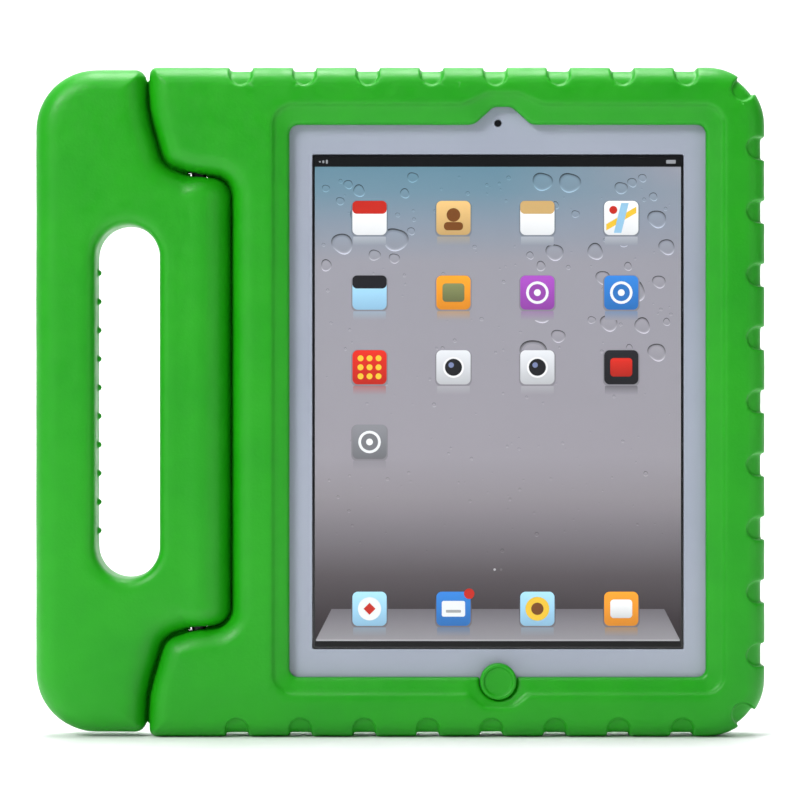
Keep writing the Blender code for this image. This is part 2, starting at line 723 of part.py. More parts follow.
def build_hinge():
    axis = (AXIS_X, 0, MIDDLE_Z)
    rod = [
        (0, -ROD_HALF_LENGTH),
        (ROD_RADIUS - ROD_CHAMFER, -ROD_HALF_LENGTH),
        (ROD_RADIUS, -ROD_HALF_LENGTH + ROD_CHAMFER),
        (ROD_RADIUS, ROD_HALF_LENGTH - ROD_CHAMFER),
        (ROD_RADIUS - ROD_CHAMFER, ROD_HALF_LENGTH),
        (0, ROD_HALF_LENGTH),
    ]
    turned("hinge_rod", rod, DARK_STEEL, axis)
    for sign, label in ((1, "upper"), (-1, "lower")):
        end = BARREL_HALF_LENGTH
        bush = [
            (BUSH_BORE, end - BUSH_LENGTH),
            (BUSH_RADIUS, end - BUSH_LENGTH),
            (BUSH_RADIUS, end - FLANGE_THICKNESS),
            (FLANGE_RADIUS, end - FLANGE_THICKNESS),
            (FLANGE_RADIUS, end),
            (BUSH_BORE, end),
        ]
        turned(
            "hinge_bush_" + label, [(radius, sign * height) for radius, height in bush], BLACK_NYLON,
            axis, closed=True,
        )
        far = SOCKET_MOUTH + SOCKET_LENGTH
        socket = [
            (BUSH_BORE, SOCKET_MOUTH),
            (BUSH_RADIUS, SOCKET_MOUTH),
            (BUSH_RADIUS, far),
            (0, far),
            (0, ROD_HALF_LENGTH + FIT),
            (BUSH_BORE, ROD_HALF_LENGTH + FIT),
        ]
        turned(
            "hinge_socket_" + label, [(radius, sign * height) for radius, height in socket], BLACK_NYLON,
            axis, closed=True,
        )


# Buttons and their covers


def build_home_button():
    stem_radius = HOME_BUTTON_RADIUS - HOME_STEM_STEP
    disc_back = POCKET_FRONT - HOME_DISC_SETBACK
    stem_end = TABLET_FRONT - HOME_STEM_GAP
    cover = [
        (0, HOME_FRONT + HOME_DISH_DEPTH),
        (HOME_RADIUS * 0.50, HOME_FRONT + HOME_DISH_DEPTH * 0.8),
        (HOME_RADIUS * 0.70, HOME_FRONT + HOME_DISH_DEPTH * 0.1),
        (HOME_RADIUS * 0.78, HOME_FRONT),
        (HOME_RADIUS * 0.90, HOME_FRONT + HOME_DISH_DEPTH * 0.3),
        (HOME_RADIUS, HOME_FRONT + HOME_RIM_ROUND),
        (HOME_RADIUS, disc_back),
        (stem_radius, disc_back),
        (stem_radius, stem_end),
        (0, stem_end),
    ]
    turned("home_button_cover", cover, GREEN_FOAM, (HOME_X, 0, HOME_Z), "Y")
    button_back = TABLET_FRONT + BEZEL_THICKNESS + HOME_BUTTON_PAST_BEZEL
    button = [
        (0, TABLET_FRONT + HOME_BUTTON_DISH),
        (HOME_BUTTON_RADIUS * 0.5, TABLET_FRONT + HOME_BUTTON_DISH * 0.6),
        (HOME_BUTTON_RADIUS, TABLET_FRONT),
        (HOME_BUTTON_RADIUS, button_back),
        (0, button_back),
    ]
    turned("tablet_home_button", button, WHITE_BEZEL, (HOME_X, 0, HOME_Z), "Y")


def build_edge_buttons():
    """The power button on the top edge and the volume button on the right, each with its cover."""
    top, side = MIDDLE_Z + TABLET_HALF_HEIGHT, TABLET_X + TABLET_HALF_WIDTH
    for name, centre, along, face, outside in (
        ("power_button", (POWER_X, PAD_Y, 0), "Z", top, HEIGHT),
        ("volume_button", (0, PAD_Y, VOLUME_Z), "X", side, RIGHT_X),
    ):
        proud = face + BUTTON_PROUD
        stadium(
            name + "_cover", centre, PAD_HALF_LENGTH, PAD_HALF_WIDTH,
            proud + FIT, outside - PAD_SETBACK, along, GREEN_FOAM,
        )
        stadium(
            "tablet_" + name, centre, BUTTON_HALF_LENGTH, BUTTON_HALF_WIDTH,
            proud - BUTTON_LENGTH, proud, along, ALUMINIUM,
        )


# Tablet


def build_housing():
    """The tablet's back: a shallow tray with a rounded back edge, open at the front."""
    bm = bmesh.new()
    rim_y = TABLET_FRONT + BEZEL_THICKNESS + HOUSING_SEAM
    levels = [(rim_y, 0.0)]
    for k in range(EDGE_STEPS + 1):
        angle = math.pi / 2 * k / EDGE_STEPS
        y = TABLET_BACK - TABLET_EDGE * (1 - math.sin(angle))
        levels.append((y, TABLET_EDGE * (1 - math.cos(angle))))
    outer = [add_loop(bm, rounded(tablet_corners(), inset), y) for y, inset in levels]
    for first, second in zip(outer, outer[1:]):
        add_wall(bm, first, second)
    floor_y = TABLET_BACK - TABLET_WALL
    inner = [add_loop(bm, rounded(tablet_corners(), TABLET_WALL), y) for y in (rim_y, floor_y)]
    add_wall(bm, *inner)
    add_cap(bm, [outer[0], inner[0]])
    add_cap(bm, [outer[-1]])
    add_cap(bm, [inner[-1]])
    housing = finish_object("tablet_housing", bm, ALUMINIUM)
    cut_housing(housing, floor_y)


def cut_housing(housing, floor_y):
    """The slots of the edge buttons and the hole of the rear camera."""
    top, side = MIDDLE_Z + TABLET_HALF_HEIGHT, TABLET_X + TABLET_HALF_WIDTH
    length, width = BUTTON_HALF_LENGTH + FIT, BUTTON_HALF_WIDTH + FIT
    for name, centre, along, face in (
        ("power_slot", (POWER_X, PAD_Y, 0), "Z", top),
        ("volume_slot", (0, PAD_Y, VOLUME_Z), "X", side),
    ):
        start, end = face - TABLET_WALL * 2, face + OVERSHOOT
        boolean(housing, stadium(name, centre, length, width, start, end, along, ALUMINIUM), "DIFFERENCE")
    lens_slot = cylinder(
        "lens_slot", REAR_CAMERA_RADIUS + FIT, floor_y - OVERSHOOT, TABLET_BACK + OVERSHOOT, ALUMINIUM,
        (REAR_CAMERA_X, 0, REAR_CAMERA_Z), "Y",
    )
    boolean(housing, lens_slot, "DIFFERENCE")


def build_bezel():
    """The frame around the display, with holes for the front camera and the home button."""
    bm = bmesh.new()
    outer = rounded(tablet_corners(), BEZEL_INSET)
    opening = rounded(display_corners(DISPLAY_SEAM))
    depths = (TABLET_FRONT, TABLET_FRONT + BEZEL_THICKNESS - BEZEL_INSET)
    outer_loops = [add_loop(bm, outer, y) for y in depths]
    opening_loops = [add_loop(bm, opening, y) for y in depths]
    add_wall(bm, *outer_loops)
    add_wall(bm, *opening_loops)
    for loops in zip(outer_loops, opening_loops):
        add_cap(bm, list(loops))
    bezel = finish_object("tablet_bezel", bm, WHITE_BEZEL)
    front, back = TABLET_FRONT - OVERSHOOT, TABLET_FRONT + CAMERA_LENGTH
    for name, radius, centre in (
        ("button_hole", HOME_BUTTON_RADIUS + FIT, (HOME_X, 0, HOME_Z)),
        ("camera_hole", CAMERA_RADIUS + FIT, (TABLET_X, 0, CAMERA_Z)),
    ):
        boolean(bezel, cylinder(name, radius, front, back, WHITE_BEZEL, centre, "Y"), "DIFFERENCE")


def build_display():
    back = TABLET_FRONT + DISPLAY_THICKNESS
    prism("tablet_display", display_corners(), TABLET_FRONT, back, DISPLAY_GREY)


def build_cameras():
    cylinder(
        "tablet_front_camera", CAMERA_RADIUS, TABLET_FRONT, TABLET_FRONT + CAMERA_LENGTH, LENS_BLACK,
        (TABLET_X, 0, CAMERA_Z), "Y",
    )
    rear_front, rear_back = TABLET_BACK - REAR_CAMERA_LENGTH, TABLET_BACK + REAR_CAMERA_PROUD
    cylinder(
        "tablet_rear_camera", REAR_CAMERA_RADIUS, rear_front, rear_back, LENS_BLACK,
        (REAR_CAMERA_X, 0, REAR_CAMERA_Z), "Y",
    )


def main():
    clear_scene()
    build_body()
    build_handle()
    build_hinge()
    build_home_button()
    build_edge_buttons()
    build_housing()
    build_bezel()
    build_display()
    build_cameras()


main()
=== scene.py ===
"""Looks of the foam tablet case: moulded foam shells, the tablet's front, studio and camera.

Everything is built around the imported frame. Lengths of the foam and of the display's picture are
in millimetres, and their meshes are scaled to metres as they are made. The studio is in metres.
"""

import math
import random

import bpy
import numpy as np
import openvdb
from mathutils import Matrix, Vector


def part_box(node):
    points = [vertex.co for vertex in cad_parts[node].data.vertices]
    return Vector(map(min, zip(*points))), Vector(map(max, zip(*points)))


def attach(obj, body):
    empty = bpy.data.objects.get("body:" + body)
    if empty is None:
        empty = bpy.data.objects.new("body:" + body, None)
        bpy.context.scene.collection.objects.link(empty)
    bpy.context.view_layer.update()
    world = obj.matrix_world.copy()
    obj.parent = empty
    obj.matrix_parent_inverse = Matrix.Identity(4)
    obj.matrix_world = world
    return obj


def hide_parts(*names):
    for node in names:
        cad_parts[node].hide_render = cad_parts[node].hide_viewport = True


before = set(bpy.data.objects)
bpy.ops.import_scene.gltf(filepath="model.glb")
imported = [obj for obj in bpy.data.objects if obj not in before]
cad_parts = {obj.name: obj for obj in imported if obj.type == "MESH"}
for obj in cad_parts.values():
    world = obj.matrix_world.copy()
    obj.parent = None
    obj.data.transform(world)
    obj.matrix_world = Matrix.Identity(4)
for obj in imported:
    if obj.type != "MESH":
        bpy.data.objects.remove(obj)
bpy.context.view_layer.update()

MM = 0.001
VOXEL = 0.6
ADAPTIVITY = 0.01


def box_mm(node):
    """A CAD node's lowest and highest corners, in millimetres."""
    low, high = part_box(node)
    return np.array(low) / MM, np.array(high) / MM


BODY_LOW, BODY_HIGH = box_mm("case_body")
HANDLE_LOW, HANDLE_HIGH = box_mm("handle")
TABLET_LOW, TABLET_HIGH = box_mm("tablet_housing")
DISPLAY_LOW, DISPLAY_HIGH = box_mm("tablet_display")
HOME_LOW, HOME_HIGH = box_mm("home_button_cover")
POWER_LOW, POWER_HIGH = box_mm("power_button_cover")
VOLUME_LOW, VOLUME_HIGH = box_mm("volume_button_cover")
ROD_LOW, ROD_HIGH = box_mm("hinge_rod")
SOCKET_LOW, SOCKET_HIGH = box_mm("hinge_socket_upper")
LENS_LOW, LENS_HIGH = box_mm("tablet_rear_camera")

MIDDLE_Z = (BODY_LOW[2] + BODY_HIGH[2]) / 2
HALF_DEPTH = BODY_HIGH[1]
AXIS_X = (ROD_LOW[0] + ROD_HIGH[0]) / 2
TABLET_X = (TABLET_LOW[0] + TABLET_HIGH[0]) / 2
HOME_X = (HOME_LOW[0] + HOME_HIGH[0]) / 2
HOME_Z = (HOME_LOW[2] + HOME_HIGH[2]) / 2
HOME_RADIUS = (HOME_HIGH[0] - HOME_LOW[0]) / 2
GLASS_Y = box_mm("tablet_bezel")[0][1]
BUSH_END = box_mm("hinge_bush_upper")[1][2] - MIDDLE_Z
SOCKET_MOUTH = SOCKET_LOW[2] - MIDDLE_Z
SOCKET_END = SOCKET_HIGH[2] - MIDDLE_Z

FIT = 0.3
SMALLEST_RADIUS = 0.3
FAR = 1e9

# Body outline. The gap's corners are measured from the hinge axis and the middle height
GAP = 1.4
GAP_LEFT = BODY_LOW[0] - GAP / 2
GAP_RIGHT = AXIS_X + 13.2
GAP_BEND = 117.6
GAP_BEND_RADIUS = 45.0
GAP_SHOULDER = (13.6, 94.6)
GAP_SHOULDER_RADIUS = 9.0
GAP_MIDDLE = (2.0, 90.7)
GAP_MIDDLE_RADIUS = 25.0
GAP_CORNER = 89.6
GAP_CORNER_RADIUS = 7.5
GAP_END_RADIUS = 4.0
BODY_EDGE = 8.5
BODY_CORNER = 24.0
BODY_TRIM = 0.05  # moves the surface in, so that its ripples stay near the CAD box

# The bulge of the body's wall into the gap, and how far it runs from the gap's left edge,
# from the hinge axis and from the case's top and bottom
GAP_CROWN = 1.15
GAP_CROWN_HALF_DEPTH = 4.5
GAP_CROWN_LEFT = 12.0
GAP_CROWN_RIGHT = 24.0
GAP_CROWN_INSET = 5.0

# Faces that thin towards their outline
PILLOW_WIDTH = 24.0
PILLOW_DEPTH = 1.1
BODY_PILLOW_SHARE = 0.8

# Height of the foam's ripples
RIPPLE_BROAD = 0.05
RIPPLE_FINE = 0.02

# Handle
HANDLE_RELIEF = 0.1
HANDLE_CROWN = 0.7
HANDLE_HALF_DEPTH = 13.0
HANDLE_EDGE = 9.5
HANDLE_CORNER = 25.0
HANDLE_GAP_RADIUS = 5.0
HANDLE_TRIM = 0.1
TONGUE_END = AXIS_X + 3.0
TONGUE_RISE = 0.9
TONGUE_RADIUS = 7.0
BARREL_RADIUS = HANDLE_HIGH[0] - AXIS_X
BARREL_HALF_LENGTH = 90.0
BARREL_END_ROUND = 7.6
BARREL_BLEND = 1.6
GRIP_LEFT = AXIS_X - 40.8
GRIP_RIGHT = AXIS_X - 15.4
GRIP_HALF_HEIGHT = 70.6
GRIP_EDGE = 6.0
NUB_COUNT = 10
NUB_PITCH = 11.5
NUB_RADIUS = 1.3
NUB_STAND_OUT = 0.4
NUB_BLEND = 0.5

# Hinge holes: a thin lip of foam closes over each bush's flange and each socket's mouth
BORE_RADIUS = 4.9
FLANGE_BORE = 6.7
FLANGE_SEAT = BUSH_END - 1.2
LIP_GAP = 0.15
ROD_BORE = (ROD_HIGH[0] - ROD_LOW[0]) / 2 + FIT
EAR_START = 85.0
EAR_EDGE = 0.5

# Window, as left, right, bottom and top, and the stepped ring around it
WINDOW = (-44.2, 122.2, 24.0, 244.8)
WINDOW_CORNER = 3.5
STEP = (-50.6, 129.2, 17.6, 252.4)
STEP_CORNER = 8.0
STEP_Y = -HALF_DEPTH + 1.5
STEP_BLEND = 1.4
LIP_Y = -HALF_DEPTH + 3.3
LIP_EDGE = 1.6
NOTCH_X = 41.0
NOTCH_TOP = 252.0
NOTCH_TOP_HALF_WIDTH = 3.5
NOTCH_TOP_RADIUS = 4.0
NOTCH_FOOT_HALF_WIDTH = 11.5
NOTCH_FOOT_RADIUS = 5.0
BUMP_RISE = 5.0
BUMP_TOP_HALF_WIDTH = 6.0
BUMP_TOP_RADIUS = 6.0
BUMP_FOOT_HALF_WIDTH = 16.0
BUMP_FOOT_RADIUS = 7.0
HOME_BUMP_MARGIN = 2.6
HOME_BUMP_FOOT_HALF_WIDTH = 12.0
HOME_BUMP_FOOT_RADIUS = 4.0
HOME_BAY_GAP = 0.15
HOME_BAY_BLEND = 0.6
TABLET_CORNER = 12.0
POCKET_GAP = 0.4

# Holes in the back and in the edges
LENS_HOLE_RADIUS = 8.0
LENS_HOLE_EDGE = 5.0
PORT_HALF_WIDTH = 15.0
PORT_HALF_DEPTH = 3.6
PORT_EDGE = 1.5
PAD_CLEARANCE = 0.4
PAD_HOLE_EDGE = 1.0

# Grooves on the outer edge, each row as the first one's place, the pitch and the count
GROOVE_HALF_WIDTH = 4.5
GROOVE_REACH = 8.0
GROOVE_DEPTH = 1.6
GROOVE_BLEND = 0.7
TOP_GROOVES = (-63.6, 25.4, 8)
BOTTOM_GROOVES = (-65.1, 25.4, 8)
SIDE_GROOVES = (33.0, 25.3, 9)
CORNER_HEADING = math.radians(133)

# Buttons
HOME_EDGE = 1.1
HOME_DISC_SETBACK = 1.1
HOME_STEM_RADIUS = 4.4
HOME_STEM_OVERLAP = 1.0
HOME_RIM = 1.9
HOME_DISH_DEPTH = 0.9
HOME_DISH_BLEND = 1.3
PAD_EDGE = 1.4

# How far a field's grid reaches past the piece
FOAM_MARGIN = 3.0
BUTTON_MARGIN = 2.0


# Outlines: closed lists of corners (x, z, radius), counter-clockwise from the front


def cross(a, b):
    return a.x * b.y - a.y * b.x


def moved_corner(before, here, after, inset):
    """Where the two edges that meet at a corner meet once both have moved in."""
    into = (here - before).normalized()
    out = (after - here).normalized()
    into_normal = Vector((-into.y, into.x))
    turn = cross(into, out)
    if abs(turn) < 1e-6:
        return here + into_normal * inset
    other = here + Vector((-out.y, out.x)) * inset
    start = here + into_normal * inset
    return start + into * (cross(other - start, out) / turn)


def rounded(corners, inset=0.0, steps=12):
    """The outline's points with its corners rounded, moved in by inset."""
    places = [Vector((x, z)) for x, z, _ in corners]
    count = len(places)
    points = []
    for i in range(count):
        before, here, after = places[i - 1], places[i], places[(i + 1) % count]
        into = (here - before).normalized()
        out = (after - here).normalized()
        turn = math.atan2(cross(into, out), into.dot(out))
        side = math.copysign(1.0, turn)
        radius = max(corners[i][2] - side * inset, SMALLEST_RADIUS)
        corner = moved_corner(before, here, after, inset)
        to_centre = Vector((-into.y, into.x)) * side - into * math.tan(abs(turn) / 2)
        centre = corner + to_centre * radius
        spoke = Vector((into.y, -into.x)) * side * radius
        parts = max(2, round(steps * abs(turn) / (math.pi / 2)))
        for k in range(parts + 1):
            angle = turn * k / parts
            c, s = math.cos(angle), math.sin(angle)
            points.append((centre.x + spoke.x * c - spoke.y * s, centre.y + spoke.x * s + spoke.y * c))
    return points


def box_corners(left, right, bottom, top, radius):
    return [(left, bottom, radius), (right, bottom, radius), (right, top, radius), (left, top, radius)]


def mirrored(corners):
    """The corners on the other side of the middle height, in the order that keeps the turn."""
    return [(x, 2 * MIDDLE_Z - z, radius) for x, z, radius in reversed(corners)]


def gap_path(relief=0.0):
    """The gap's upper half, from the top of the case down to the hinge barrel's corner."""
    shoulder_x, shoulder_z = GAP_SHOULDER
    middle_x, middle_z = GAP_MIDDLE
    return [
        (GAP_LEFT, MIDDLE_Z + GAP_BEND, GAP_BEND_RADIUS),
        (AXIS_X - shoulder_x - relief, MIDDLE_Z + shoulder_z - relief, GAP_SHOULDER_RADIUS),
        (AXIS_X - middle_x, MIDDLE_Z + middle_z - relief / 2, GAP_MIDDLE_RADIUS),
    ]


def body_corners():
    notch = gap_path() + [(GAP_RIGHT, MIDDLE_Z + GAP_CORNER, GAP_CORNER_RADIUS)]
    half = GAP / 2
    right, top = BODY_HIGH[0] + half, BODY_HIGH[2] + half
    outside = [
        (GAP_LEFT, -half, GAP_END_RADIUS),
        (right, -half, BODY_CORNER),
        (right, top, BODY_CORNER),
        (GAP_LEFT, top, GAP_END_RADIUS),
    ]
    return outside + notch + mirrored(notch)


def handle_corners():
    tongue_tip = (TONGUE_END, MIDDLE_Z + GAP_CORNER + TONGUE_RISE, TONGUE_RADIUS)
    rising = [tongue_tip] + gap_path(HANDLE_RELIEF)[::-1]
    half = GAP / 2
    left, bottom, top = HANDLE_LOW[0] - half, HANDLE_LOW[2] - half, HANDLE_HIGH[2] + half
    lower = [(left, bottom, HANDLE_CORNER), (GAP_LEFT, bottom, HANDLE_GAP_RADIUS)]
    upper = [(GAP_LEFT, top, HANDLE_GAP_RADIUS), (left, top, HANDLE_CORNER)]
    return lower + mirrored(rising) + rising + upper


def window_corners():
    left, right, bottom, top = WINDOW
    return [
        (left, bottom, WINDOW_CORNER),
        (right, bottom, WINDOW_CORNER),
        (right, top, WINDOW_CORNER),
        (NOTCH_X + NOTCH_FOOT_HALF_WIDTH, top, NOTCH_FOOT_RADIUS),
        (NOTCH_X + NOTCH_TOP_HALF_WIDTH, NOTCH_TOP, NOTCH_TOP_RADIUS),
        (NOTCH_X - NOTCH_TOP_HALF_WIDTH, NOTCH_TOP, NOTCH_TOP_RADIUS),
        (NOTCH_X - NOTCH_FOOT_HALF_WIDTH, top, NOTCH_FOOT_RADIUS),
        (left, top, WINDOW_CORNER),
    ]


def step_corners():
    """The ring around the window where the front face steps down."""
    left, right, bottom, top = STEP
    bump_top = NOTCH_TOP + BUMP_RISE
    button_bottom = HOME_Z - HOME_RADIUS - HOME_BUMP_MARGIN
    home_foot = HOME_BUMP_FOOT_HALF_WIDTH
    return [
        (left, bottom, STEP_CORNER),
        (HOME_X - home_foot, bottom, HOME_BUMP_FOOT_RADIUS),
        (HOME_X - BUMP_TOP_HALF_WIDTH, button_bottom, BUMP_TOP_RADIUS),
        (HOME_X + BUMP_TOP_HALF_WIDTH, button_bottom, BUMP_TOP_RADIUS),
        (HOME_X + home_foot, bottom, HOME_BUMP_FOOT_RADIUS),
        (right, bottom, STEP_CORNER),
        (right, top, STEP_CORNER),
        (NOTCH_X + BUMP_FOOT_HALF_WIDTH, top, BUMP_FOOT_RADIUS),
        (NOTCH_X + BUMP_TOP_HALF_WIDTH, bump_top, BUMP_TOP_RADIUS),
        (NOTCH_X - BUMP_TOP_HALF_WIDTH, bump_top, BUMP_TOP_RADIUS),
        (NOTCH_X - BUMP_FOOT_HALF_WIDTH, top, BUMP_FOOT_RADIUS),
        (left, top, STEP_CORNER),
    ]


# Distance fields: negative inside, in millimetres


class Grid:
    """Sample points of a box, as arrays that broadcast against each other."""

    def __init__(self, low, high, step):
        self.step = step
        self.low = np.array(low, float)
        counts = np.ceil((np.array(high) - self.low) / step).astype(int) + 1
        axes = [(self.low[i] + step * np.arange(counts[i])).astype(np.float32) for i in range(3)]
        self.x = axes[0][:, None, None]
        self.y = axes[1][None, :, None]
        self.z = axes[2][None, None, :]


def outline_field(grid, points):
    """Signed distance to a closed outline, on the grid's X and Z."""
    x, z = grid.x[:, 0, :], grid.z[0]
    nearest = np.full((x.shape[0], z.shape[1]), FAR, np.float32)
    inside = np.zeros(nearest.shape, bool)
    for (ax, az), (bx, bz) in zip(points, points[1:] + points[:1]):
        dx, dz = bx - ax, bz - az
        length = dx * dx + dz * dz
        if length < 1e-9:
            continue
        along = np.clip(((x - ax) * dx + (z - az) * dz) / length, 0, 1)
        nearest = np.minimum(nearest, (x - ax - along * dx) ** 2 + (z - az - along * dz) ** 2)
        if dz != 0:
            crosses = (az > z) != (bz > z)
            inside ^= crosses & (x < dx * (z - az) / dz + ax)
    distance = np.sqrt(nearest)
    return np.where(inside, -distance, distance)[:, None, :]


def smooth_max(a, b, blend):
    """The larger of two fields, with the crease between them rounded."""
    mix = np.maximum(blend - np.abs(a - b), 0) / blend
    return np.maximum(a, b) + mix * mix * (blend / 4)


def smooth_min(a, b, blend):
    return -smooth_max(-a, -b, blend)


def edge_round(across, along, radius):
    """A plate's or a drum's field from its two distances, with its edge rounded."""
    u, v = across + radius, along + radius
    outside = np.hypot(np.maximum(u, 0), np.maximum(v, 0))
    return np.minimum(np.maximum(u, v), 0) + outside - radius


def stadium_field(u, v, half_length, half_width):
    """Signed distance to a bar with round ends."""
    past = np.maximum(np.abs(u) - (half_length - half_width), 0)
    return np.hypot(past, v) - half_width


def groove_field(grid):
    """Footprints of all the edge grooves, seen from the front."""
    left, pitch, count = TOP_GROOVES
    places = [(left + k * pitch, BODY_HIGH[2], -math.pi / 2) for k in range(count)]
    left, pitch, count = BOTTOM_GROOVES
    places += [(left + k * pitch, 0.0, math.pi / 2) for k in range(count)]
    bottom, pitch, count = SIDE_GROOVES
    places += [(BODY_HIGH[0], bottom + k * pitch, math.pi) for k in range(count)]
    corner = BODY_CORNER * (1 - math.sqrt(0.5))
    places.append((BODY_HIGH[0] - corner, BODY_HIGH[2] - corner, -CORNER_HEADING))
    places.append((BODY_HIGH[0] - corner, corner, CORNER_HEADING))
    field = np.full(1, FAR, np.float32)
    for x, z, heading in places:
        c, s = math.cos(heading), math.sin(heading)
        u = (grid.x - x) * c + (grid.z - z) * s
        v = -(grid.x - x) * s + (grid.z - z) * c
        past = np.maximum(u - (GROOVE_REACH - GROOVE_HALF_WIDTH), 0)
        field = np.minimum(field, np.hypot(past, v) - GROOVE_HALF_WIDTH)
    return field


def foam_ripple(grid):
    """The slight unevenness of moulded foam, under a tenth of a millimetre."""
    broad = np.sin(grid.x / 11.0 + 1.3 * np.sin(grid.z / 17.0)) * np.sin(grid.z / 13.0 + 0.7)
    fine = np.sin(grid.x / 4.3 + grid.z / 6.1) * np.sin(grid.z / 3.7 - grid.x / 7.9 + 2.1)
    return (RIPPLE_BROAD * broad + RIPPLE_FINE * fine).astype(np.float32)


def gap_crown(grid, outline, height):
    """The bulge of a wall into the gap at mid depth, which keeps light from coming through."""
    depth = np.abs(grid.y) - GAP_CROWN_HALF_DEPTH
    crown = edge_round(outline - height, depth, GAP_CROWN_HALF_DEPTH)
    beside = np.maximum(GAP_LEFT - GAP_CROWN_LEFT - grid.x, grid.x - AXIS_X - GAP_CROWN_RIGHT)
    ends = np.abs(grid.z - MIDDLE_Z) - (MIDDLE_Z - GAP_CROWN_INSET)
    return np.maximum(crown, np.maximum(ends, beside))


def pillow(outline):
    """How much thinner the foam gets towards its outline."""
    return PILLOW_DEPTH * np.clip(1 + outline / PILLOW_WIDTH, 0, 1) ** 2


def body_field(grid):
    outline = outline_field(grid, rounded(body_corners(), GAP / 2))
    depth = np.abs(grid.y) - HALF_DEPTH + pillow(outline) * BODY_PILLOW_SHARE
    slab = edge_round(outline, depth, BODY_EDGE)
    slab = np.minimum(slab, gap_crown(grid, outline, GAP_CROWN)) + foam_ripple(grid) + BODY_TRIM
    grooves = smooth_max(groove_field(grid), -(slab + GROOVE_DEPTH), GROOVE_BLEND)
    body = smooth_max(slab, -grooves, GROOVE_BLEND)
    body = cut_window(grid, body)
    body = cut_pocket(grid, body)
    body = cut_lens_hole(grid, body)
    body = cut_edge_holes(grid, body)
    return cut_hinge_seats(grid, body)


def cut_window(grid, body):
    """The stepped ring, whose floor slopes down to the window's lip, and the window itself."""
    step = outline_field(grid, rounded(step_corners()))
    bay = np.hypot(grid.x - HOME_X, grid.z - HOME_Z) - (HOME_RADIUS + HOME_BAY_GAP)
    window = outline_field(grid, rounded(window_corners()))
    share = np.clip(step / np.minimum(step - np.maximum(window, 0), -1e-3), 0, 1)
    floor = STEP_Y + (LIP_Y - STEP_Y) * share
    body = smooth_max(body, -smooth_max(step, grid.y - floor, STEP_BLEND), LIP_EDGE)
    opening = np.maximum(smooth_min(window, bay, HOME_BAY_BLEND), grid.y - GLASS_Y)
    return smooth_max(body, -opening, LIP_EDGE)


def cut_pocket(grid, body):
    """The space that the tablet fills."""
    low, high = TABLET_LOW - POCKET_GAP, TABLET_HIGH + POCKET_GAP
    corners = box_corners(low[0], high[0], low[2], high[2], TABLET_CORNER + POCKET_GAP)
    front, back = GLASS_Y - FIT, TABLET_HIGH[1] + FIT
    depth = np.abs(grid.y - (front + back) / 2) - (back - front) / 2
    return np.maximum(body, -np.maximum(outline_field(grid, rounded(corners)), depth))


def cut_lens_hole(grid, body):
    """The rear camera's hole, flared towards the back."""
    lens_x, lens_z = (LENS_LOW[0] + LENS_HIGH[0]) / 2, (LENS_LOW[2] + LENS_HIGH[2]) / 2
    lens = np.hypot(grid.x - lens_x, grid.z - lens_z) - LENS_HOLE_RADIUS
    return smooth_max(body, -np.maximum(lens, TABLET_HIGH[1] - grid.y), LENS_HOLE_EDGE)


def cut_edge_holes(grid, body):
    """The charging port at the bottom, and the holes for the pads over the edge buttons."""
    pad_y = (POWER_LOW[1] + POWER_HIGH[1]) / 2
    port = stadium_field(grid.x - TABLET_X, grid.y - pad_y, PORT_HALF_WIDTH, PORT_HALF_DEPTH)
    body = smooth_max(body, -np.maximum(port, grid.z - TABLET_LOW[2]), PORT_EDGE)
    power_x, volume_z = (POWER_LOW[0] + POWER_HIGH[0]) / 2, (VOLUME_LOW[2] + VOLUME_HIGH[2]) / 2
    length = (POWER_HIGH[0] - POWER_LOW[0]) / 2 + PAD_CLEARANCE
    width = (POWER_HIGH[1] - POWER_LOW[1]) / 2 + PAD_CLEARANCE
    power = stadium_field(grid.x - power_x, grid.y - pad_y, length, width)
    body = smooth_max(body, -np.maximum(power, TABLET_HIGH[2] - grid.z), PAD_HOLE_EDGE)
    volume = stadium_field(grid.z - volume_z, grid.y - pad_y, length, width)
    return smooth_max(body, -np.maximum(volume, TABLET_HIGH[0] - grid.x), PAD_HOLE_EDGE)


def cut_hinge_seats(grid, body):
    """A hole in each ear for the socket, narrowed to the rod's size at its mouth."""
    height = np.abs(grid.z - MIDDLE_Z)
    radius = np.where(height < SOCKET_MOUTH - LIP_GAP, ROD_BORE, BORE_RADIUS)
    seat = np.hypot(grid.x - AXIS_X, grid.y) - radius
    ends = np.maximum(height - (SOCKET_END + FIT), EAR_START - height)
    return smooth_max(body, -np.maximum(seat, ends), EAR_EDGE)


def nub_field(grid):
    """The row of small nubs on the grip slot's left wall."""
    spread = NUB_PITCH * (NUB_COUNT - 1) / 2
    nearest = np.clip(np.round((grid.z - MIDDLE_Z + spread) / NUB_PITCH), 0, NUB_COUNT - 1)
    along = grid.z - (MIDDLE_Z - spread + NUB_PITCH * nearest)
    return np.sqrt((grid.x - GRIP_LEFT - NUB_STAND_OUT) ** 2 + grid.y**2 + along**2) - NUB_RADIUS


